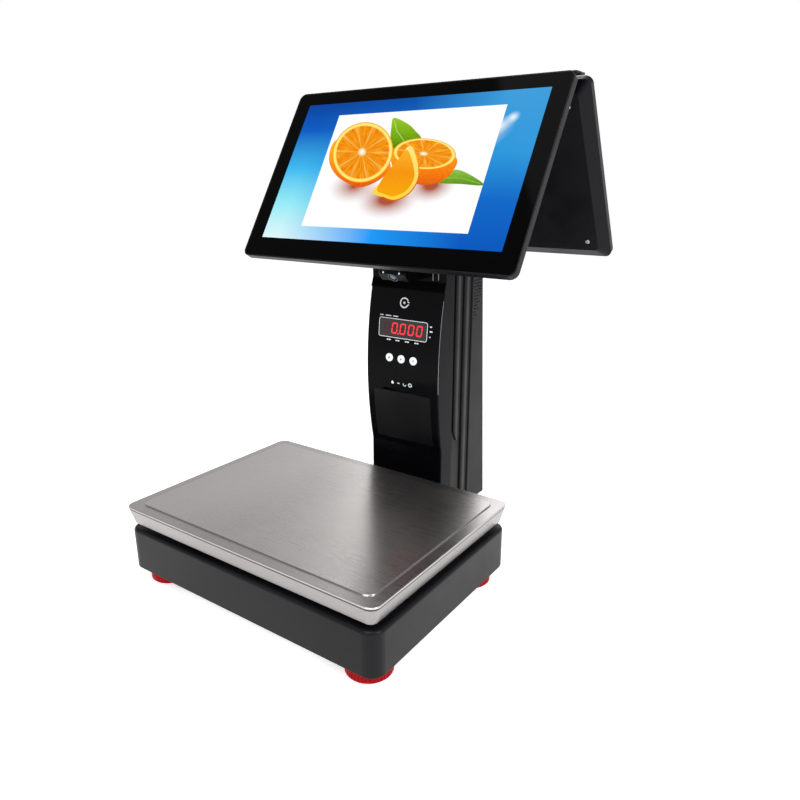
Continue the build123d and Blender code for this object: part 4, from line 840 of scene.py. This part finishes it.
def led_finish(name, colour, strength):
    """Lit segment with a slightly uneven glow."""
    finish = Finish(name, [channel * 0.3 for channel in colour], 0.3, specular=0.3)
    weaker = [channel * 0.85 for channel in colour]
    finish.glow(finish.ramp(finish.noise(500, 3), (0.3, weaker), (0.7, colour)), strength)
    return finish


def seven_segments(height, width, thick, slant):
    """Outlines of a digit's seven bars, the middle one last."""
    gap = thick * 0.12
    half_w, half_h = width / 2, height / 2

    def segment(start, end):
        a, b = Vector(start), Vector(end)
        along = (b - a).normalized()
        side = Vector((-along.y, along.x)) * thick / 2
        a, b = a + along * gap, b - along * gap
        tip = along * thick / 2
        tips = (a, a + tip + side, b - tip + side, b, b - tip - side, a + tip - side)
        return [(point.x + point.y * slant, point.y) for point in reversed(tips)]

    top_left, top_right = (-half_w, half_h), (half_w, half_h)
    left, right = (-half_w, 0), (half_w, 0)
    low_left, low_right = (-half_w, -half_h), (half_w, -half_h)
    return [
        segment(top_left, top_right), segment(top_right, right), segment(right, low_right),
        segment(low_left, low_right), segment(left, low_left), segment(top_left, left), segment(left, right),
    ]


def readout(place):
    """Five digits behind the window: one unlit, four lit zeros with a point after the first; unlit segments
    get a faint painted glow.
    """
    lit = led_finish("digit_lit", srgb(255, 36, 52), 1.6)
    # Unlit segments get a faint painted glow, standing in for light they catch through the window.
    dark = led_finish("digit_unlit_glow", srgb(70, 10, 12), 0.6)
    segments = seven_segments(height=12.6, width=7.4, thick=1.5, slant=0.10)
    pitch = 12.8
    lit_shapes, dark_shapes = Shapes(), Shapes()
    for digit in range(5):
        centre = (digit - 2) * pitch
        for outline in segments:
            target = lit_shapes if digit > 0 and outline is not segments[-1] else dark_shapes
            target.plate([(x + centre, y) for x, y in outline], 0)
        point = circle(0.95, (centre + 6.0, -6.9), 16)
        (lit_shapes if digit == 1 else dark_shapes).plate(point, 0)
    lit_shapes.piece("readout_digits", place, lit, "window_tint")
    dark_shapes.piece("readout_idle_bars", place, dark, "window_tint")


def printed_marks():
    """White ink on the console: frame around the readout, captions as plain bars, icons and a round mark."""
    white = ink_finish("ink_white", srgb(222, 228, 230))
    face = tree_of("console_panel")

    def lay(shapes, name, x, z):
        place = on_surface(face, (x, FRONT_START, z), (0, 1, 0))
        shapes.piece(name, place, white, "console_black")

    window_low, window_high = box_mm("readout_window")
    window_z = (window_low.z + window_high.z) / 2
    window_face = flat_face("readout_window", (0, -1, 0.1))
    readout(window_face)
    border = Shapes().rim(rounded_rectangle(75.6, 25.0, 3.2), rounded_rectangle(74.0, 23.4, 2.4), -0.1, 0.14)
    border.piece("readout_border", shifted(window_face, z=0.1), white, "console_black")
    # captions without words: short bars above, below and beside the readout
    for index, centre in enumerate((-20.8, -7.0, 8.0, 22.6)):
        for part, (offset, length) in enumerate(((-1.9, 2.6), (1.4, 2.8))):
            lay(Shapes(bar(length, 1.5, offset)), f"caption_below_{index}_{part}", centre, window_z - 15.4)
    for index, (x, length) in enumerate(((-34.5, 5.0), (-24.0, 9.0), (-12.5, 8.0))):
        lay(Shapes(bar(length, 1.1)), f"caption_above_{index}", x, window_z + 15.4)
    for index, (rise, length) in enumerate(((7.6, 3.0), (1.8, 4.2), (-5.2, 1.8))):
        lay(Shapes(bar(length, 1.6)), f"caption_beside_{index}", 41.0 + length / 2, window_z + rise)
    # round mark: an open ring around a dot, with two short dashes, a plain ornament
    ring = Shapes(
        swept(circle(6.0, count=40, start=25, sweep=300), 1.7),
        circle(1.6, count=20),
        swept([(4.6, 1.6), (7.6, 0.6)], 1.5),
        swept([(4.4, -3.4), (7.2, -1.8)], 1.5),
    )
    lay(ring, "round_mark", -1.0, window_z + 33.5)
    # icons above the label slot
    icon_z = box_mm("printer_door")[1].z + 12.6
    drop = curve([(0, 2.4), (1.9, 0.2), (1.2, -1.8), (-1.2, -1.8), (-1.9, 0.2)])
    arc = swept(circle(2.2, count=16, start=150, sweep=200), 0.9)
    lay(Shapes(drop), "icon_drop", -14.0, icon_z)
    lay(Shapes(bar(3.2, 1.4)), "icon_bar", -4.5, icon_z)
    lay(Shapes(arc), "icon_arc", 5.5, icon_z)
    lay(Shapes().rim(circle(2.8, count=24), circle(1.7, count=24)), "icon_ring", 14.0, icon_z)


def key_symbols():
    """A small dark symbol on each key: a ring, a cross and two bars."""
    ink = ink_finish("ink_grey", srgb(58, 66, 74))
    ring = Shapes().rim(circle(1.5, count=20), circle(0.7, count=20))
    cross = Shapes(bar(3.4, 0.8))
    cross.plate(swept([(0, -1.7), (0, 1.7)], 0.8), high=INK * 1.2)
    bars = Shapes(*(swept([(x, -1.4), (x, 1.4)], 0.9) for x in (-0.9, 0.9)))
    for key, shapes in (("key_left", ring), ("key_middle", cross), ("key_right", bars)):
        shapes.piece(f"{key}_symbol", flat_face(key, (0, -1, 0.05)), ink, "key_white", key)


# ---- fasteners and small trim
def screw_shapes(radius, height, socket):
    """Pan head screw with a hexagonal socket."""
    count = 24
    hexagon = []
    for index in range(count):
        angle = 2 * math.pi * index / count
        around = (angle + math.pi / 6) % (math.pi / 3) - math.pi / 6
        reach = socket * math.cos(math.pi / 6) / math.cos(around)
        hexagon.append((reach * math.cos(angle), reach * math.sin(angle)))
    rings = []
    for share, rise in ((1.0, -0.2), (1.0, 0.45), (0.94, 0.72), (0.80, 0.92), (0.66, 1.0)):
        rings.append(at_height(circle(radius * share, count=count), rise * height))
    rings += [at_height(hexagon, height), at_height(hexagon, 0.25 * height)]
    shapes = Shapes().layers(rings)
    return shapes


def port_cover_highlight_lines():
    """Painted highlight: a light line around the port cover on each display's back, where the cover's groove
    catches light.
    """
    # Light ink that stands in for the highlight on the cover's groove.
    line = ink_finish("port_cover_highlight_line", srgb(44, 44, 52))
    thick, radius = 0.7, 4
    for display, side in (("front", -1), ("rear", 1)):
        node = f"{display}_port_cover"
        place = flat_face(node, (0, -side, -0.5))
        low, high = span(place, [vertex.co for vertex in nodes[node].data.vertices])
        size = (high - low) / MM
        outer = rounded_rectangle(size.x, size.y, radius)
        inner = rounded_rectangle(size.x - 2 * thick, size.y - 2 * thick, radius - thick)
        shapes = Shapes()
        shapes.rim(outer, inner)
        shapes.piece(f"{node}_line", place, line, "display_plastic", f"{display}_display")


def screws_on_displays(finish):
    """Four screws in the corners of each display's back, and four on its hinge plate."""
    shapes = screw_shapes(2.9, 1.3, 1.5)
    for display, side in (("front", -1), ("rear", 1)):
        body = f"{display}_display"
        for node, kind, x, y, turn in (("shell", "back", 168, 92, 17), ("hinge", "hinge", 52, 13, 23)):
            face = flat_face(f"{body}_{node}", (0, -side, -0.5))
            for index, (across, up) in enumerate(((-x, -y), (x, -y), (-x, y), (x, y))):
                place = shifted(face, across, up, turn=turn * index)
                name = f"{display}_{kind}_screw_{index}"
                shapes.piece(name, place, finish, "zinc_steel", body, smooth=True)


def screws_on_column(finish):
    """Screws that hold the rear shell, the socket plate and the chassis."""
    large = screw_shapes(3.0, 1.4, 1.6)
    small = screw_shapes(2.0, 0.9, 1.0)
    low, high = box_mm("socket_plate")
    chassis_y = box_mm("base_chassis")[0].y
    below = -100
    shell_spots = [(x, REAR_START, z) for z in (24, 170, 338) for x in (-46, 46)]
    socket_spots = [
        (low.x + 3.5, REAR_START, low.z + 4), (low.x + 3.5, REAR_START, high.z - 4),
        (-2.5, REAR_START, high.z - 3.5), (-2.5, REAR_START, low.z + 3.5),
    ]
    chassis_spots = [(x, chassis_y + y, below) for y in (12, 240) for x in (-105, 0, 105)]
    groups = (
        ("shell", "column_shell", large, shell_spots, (0, -1, 0), 29),
        ("socket", "socket_plate", small, socket_spots, (0, -1, 0), 31),
        ("chassis", "base_chassis", large, chassis_spots, (0, 0, 1), 13),
    )
    for kind, node, shapes, spots, direction, turn in groups:
        tree = tree_of(node)
        for index, spot in enumerate(spots):
            place = shifted(on_surface(tree, spot, direction), turn=turn * index)
            shapes.piece(f"{kind}_screw_{index}", place, finish, "zinc_steel", smooth=True)


def rating_plate():
    """Foil plate on the column's back with plain bars where the maker's data would be."""
    foil = brushed_steel("rating_foil", srgb(196, 198, 200), 0, 0.3, 0.45, 1200)
    ink = ink_finish("ink_black", srgb(20, 20, 22))
    place = on_surface(tree_of("column_shell"), (0, REAR_START, 215), (0, -1, 0))
    outline = rounded_rectangle(58, 34, 2.5)
    bevel = 0.08
    drawn_in = []
    for x, y in outline:
        inward = 1 - bevel / math.hypot(x, y)
        drawn_in.append((x * inward, y * inward))
    low, high = -0.05, 0.25
    rings = [at_height(outline, low), at_height(outline, high - bevel), at_height(drawn_in, high)]
    plate = Shapes().layers(rings)
    plate.piece("rating_plate", place, foil, "zinc_steel")
    bars = Shapes()
    for row, end in enumerate((2, 14, 8, 20, -4)):
        height = 11 - 5.2 * row
        bars.plate(swept([(-24, height), (end, height)], 1.3), 0.2, 0.28)
    bars.rim(rounded_rectangle(55, 31, 1.6), rounded_rectangle(54.2, 30.2, 1.3), 0.2, 0.28)
    bars.piece("rating_plate_print", place, ink, "zinc_steel")


def camera_trim():
    """Ring around the camera lens, and two small lamps in the pod's front."""
    finish = gloss_black("lens_ring", srgb(26, 26, 30), 0.2, 0.5)
    place = flat_face("camera_pod", (0, -1, -1))
    lens_low, lens_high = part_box("camera_lens")
    lens = place.inverted() @ ((lens_low + lens_high) / 2) / MM
    section = ((5.3, 0.0), (7.2, 0.0), (7.2, 0.5), (6.8, 0.9), (5.7, 0.9), (5.3, 0.5))
    ring = Shapes().lathe(section, 40, loop=True)
    ring.piece("lens_ring", shifted(place, lens.x, lens.y), finish, "socket_black", smooth=True)
    lamp = led_finish("pod_lamp", srgb(200, 228, 255), 1.0)
    front = flat_face("camera_pod", (0, -1, 0))
    shapes = Shapes().lathe(((1.1, -0.2), (1.1, 0.15), (0.7, 0.4)), 16)
    for index, x in enumerate((-12.0, 12.0)):
        shapes.piece(f"pod_lamp_{index}", shifted(front, x), lamp, "lens_glass", smooth=True)


def add_console_edge_highlight():
    """Painted highlight: a bright strip along the console's right edge, above the printer, where the edge
    catches light.
    """
    # A strip placed where there is only the edge's highlight.
    finish = brushed_steel("console_edge_highlight", srgb(150, 152, 156), 2, 0.25, 0.4)
    face = tree_of("console_panel")
    right = box_mm("console_panel")[1].x
    bottom, top, steps = 196, 314, 12
    line = []
    for step in range(steps + 1):
        height = bottom + (top - bottom) * step / steps
        start = Vector((right - 2.5, FRONT_START, height)) * MM
        spot, _, _, _ = face.ray_cast(start, Vector((0, 1, 0)))
        line.append((spot.y / MM + 0.9, height))
    shapes = Shapes().plate(swept(line, 0.5), -0.1, 0.15)
    place = Matrix(((0, 0, 1, right * MM), (1, 0, 0, 0), (0, 1, 0, 0), (0, 0, 0, 1)))
    shapes.piece("console_edge_highlight_strip", place, finish, "console_black")


def hood_glow_bars():
    """Two short bars on the front of the hood, given a faint grey glow."""
    finish = led_finish("hood_glow_bar", srgb(120, 124, 130), 0.5)
    hood = tree_of("neck_hood")
    for index, (x, length) in enumerate(((37.0, 11.0), (45.0, 9.0))):
        place = on_surface(hood, (x, FRONT_START, 343), (0, 1, 0))
        shapes = Shapes()
        shapes.plate(rounded_rectangle(1.3, length, 0.6), -0.1, 0.12)
        shapes.piece(f"hood_bar_{index}", place, finish, "column_plastic")


def vial_marks():
    """Bubble and ring on the level vial."""
    ring_ink = ink_finish("vial_ink", srgb(24, 30, 24))
    bubble = Finish("vial_bubble", srgb(238, 246, 196), 0.05, specular=0.8)
    bubble.roughen(bubble.noise(900, 3), 0.04, 0.1)
    place = flat_face("level_vial", (0, 0, 1))
    ring = Shapes().rim(circle(4.4), circle(3.9))
    ring.piece("vial_ring", place, ring_ink, "vial_clear")
    dome = Shapes().lathe(((3.2, -INK), (3.1, 0.15), (2.4, 0.32), (1.2, 0.42)), 28)
    dome.piece("vial_bubble", place, bubble, "vial_clear", smooth=True)


def knob_grips():
    """Arrow on top of each red knob's rim that shows which way it turns."""
    ink = ink_finish("ink_dark_red", srgb(120, 6, 14))
    radius, shaft, half_head, rise = 18.5, 1.4, 2.0, 4 * INK
    first, last = (Vector(point) for point in circle(radius, count=2, start=260, sweep=8))
    side = first.normalized() * half_head
    arrow = Shapes().plate(swept(circle(radius, count=20, start=200, sweep=60), shaft), high=rise)
    arrow.plate([tuple(first + side), tuple(last), tuple(first - side)], high=rise)
    for corner in ("front_left", "front_right", "rear_left", "rear_right"):
        low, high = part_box(f"foot_knob_{corner}")
        place = surface_place(((low.x + high.x) / 2, (low.y + high.y) / 2, high.z), (0, 0, 1))
        arrow.piece(f"knob_arrow_{corner}", place, ink, "knob_red", f"knob_{corner}")


# ---- stage
def add_floor(reach=30.0):
    """Pale floor that reaches some metres out from the scale."""
    finish = Finish("floor", srgb(250, 250, 250), 0.6, specular=0.1)
    finish.tones(finish.noise(3, 3), srgb(228, 228, 228), srgb(232, 232, 232), 0.3, 0.7)
    finish.glow(srgb(255, 255, 255), 0.62)
    mesh = bpy.data.meshes.new("floor")
    corners = [(-reach, -reach, 0), (reach, -reach, 0), (reach, reach, 0), (-reach, reach, 0)]
    mesh.from_pydata(corners, [], [(0, 1, 2, 3)])
    mesh.materials.append(finish.material)
    floor = new_object("floor", mesh)


def add_lamp(name, azimuth, elevation, distance, size, power):
    """Soft square lamp that looks at the scale's middle; sizes in metres, power in watts."""
    lamp = bpy.data.lights.new(name, "AREA")
    lamp.shape = "SQUARE"
    lamp.size = size
    lamp.energy = power
    thing = new_object(name, lamp)
    direction = toward(azimuth, elevation)
    thing.location = (cad_box[0] + cad_box[1]) / 2 + direction * distance
    thing.rotation_mode = "QUATERNION"
    thing.rotation_quaternion = (-direction).to_track_quat("-Z", "Y")


def add_surroundings():
    """Even pale world, bright at and below the horizon's height and darker overhead."""
    world = bpy.data.worlds.new("surroundings")
    world.use_nodes = True
    sky = NodeTree(world.node_tree)
    background = sky.tree.nodes["Background"].inputs
    height = sky.axes(sky.add("ShaderNodeTexCoord").outputs["Generated"])["Z"]
    greys = ((0.0, 1.0), (0.26, 1.0), (0.5, 0.42), (1.0, 0.30))
    colour = sky.ramp(height, *((place, (grey, grey, grey)) for place, grey in greys))
    sky.feed(background["Color"], colour)
    sky.feed(background["Strength"], 1.0)
    bpy.context.scene.world = world
    bpy.context.scene.view_settings.view_transform = "Standard"


# ---- build
add_camera()
dress_nodes(slot_finishes())
bright_screw = zinc_steel()
display_pictures()
printed_marks()
key_symbols()
port_cover_highlight_lines()
screws_on_displays(bright_screw)
screws_on_column(bright_screw)
rating_plate()
camera_trim()
add_console_edge_highlight()
hood_glow_bars()
vial_marks()
knob_grips()
add_floor()
add_lamp("key", 10, 48, 1.6, 1.1, 18)
add_lamp("side", 78, 28, 1.5, 0.5, 12)
add_lamp("top", 10, 84, 1.5, 1.2, 8)
add_lamp("back", 200, 40, 1.7, 1.1, 12)
add_surroundings()
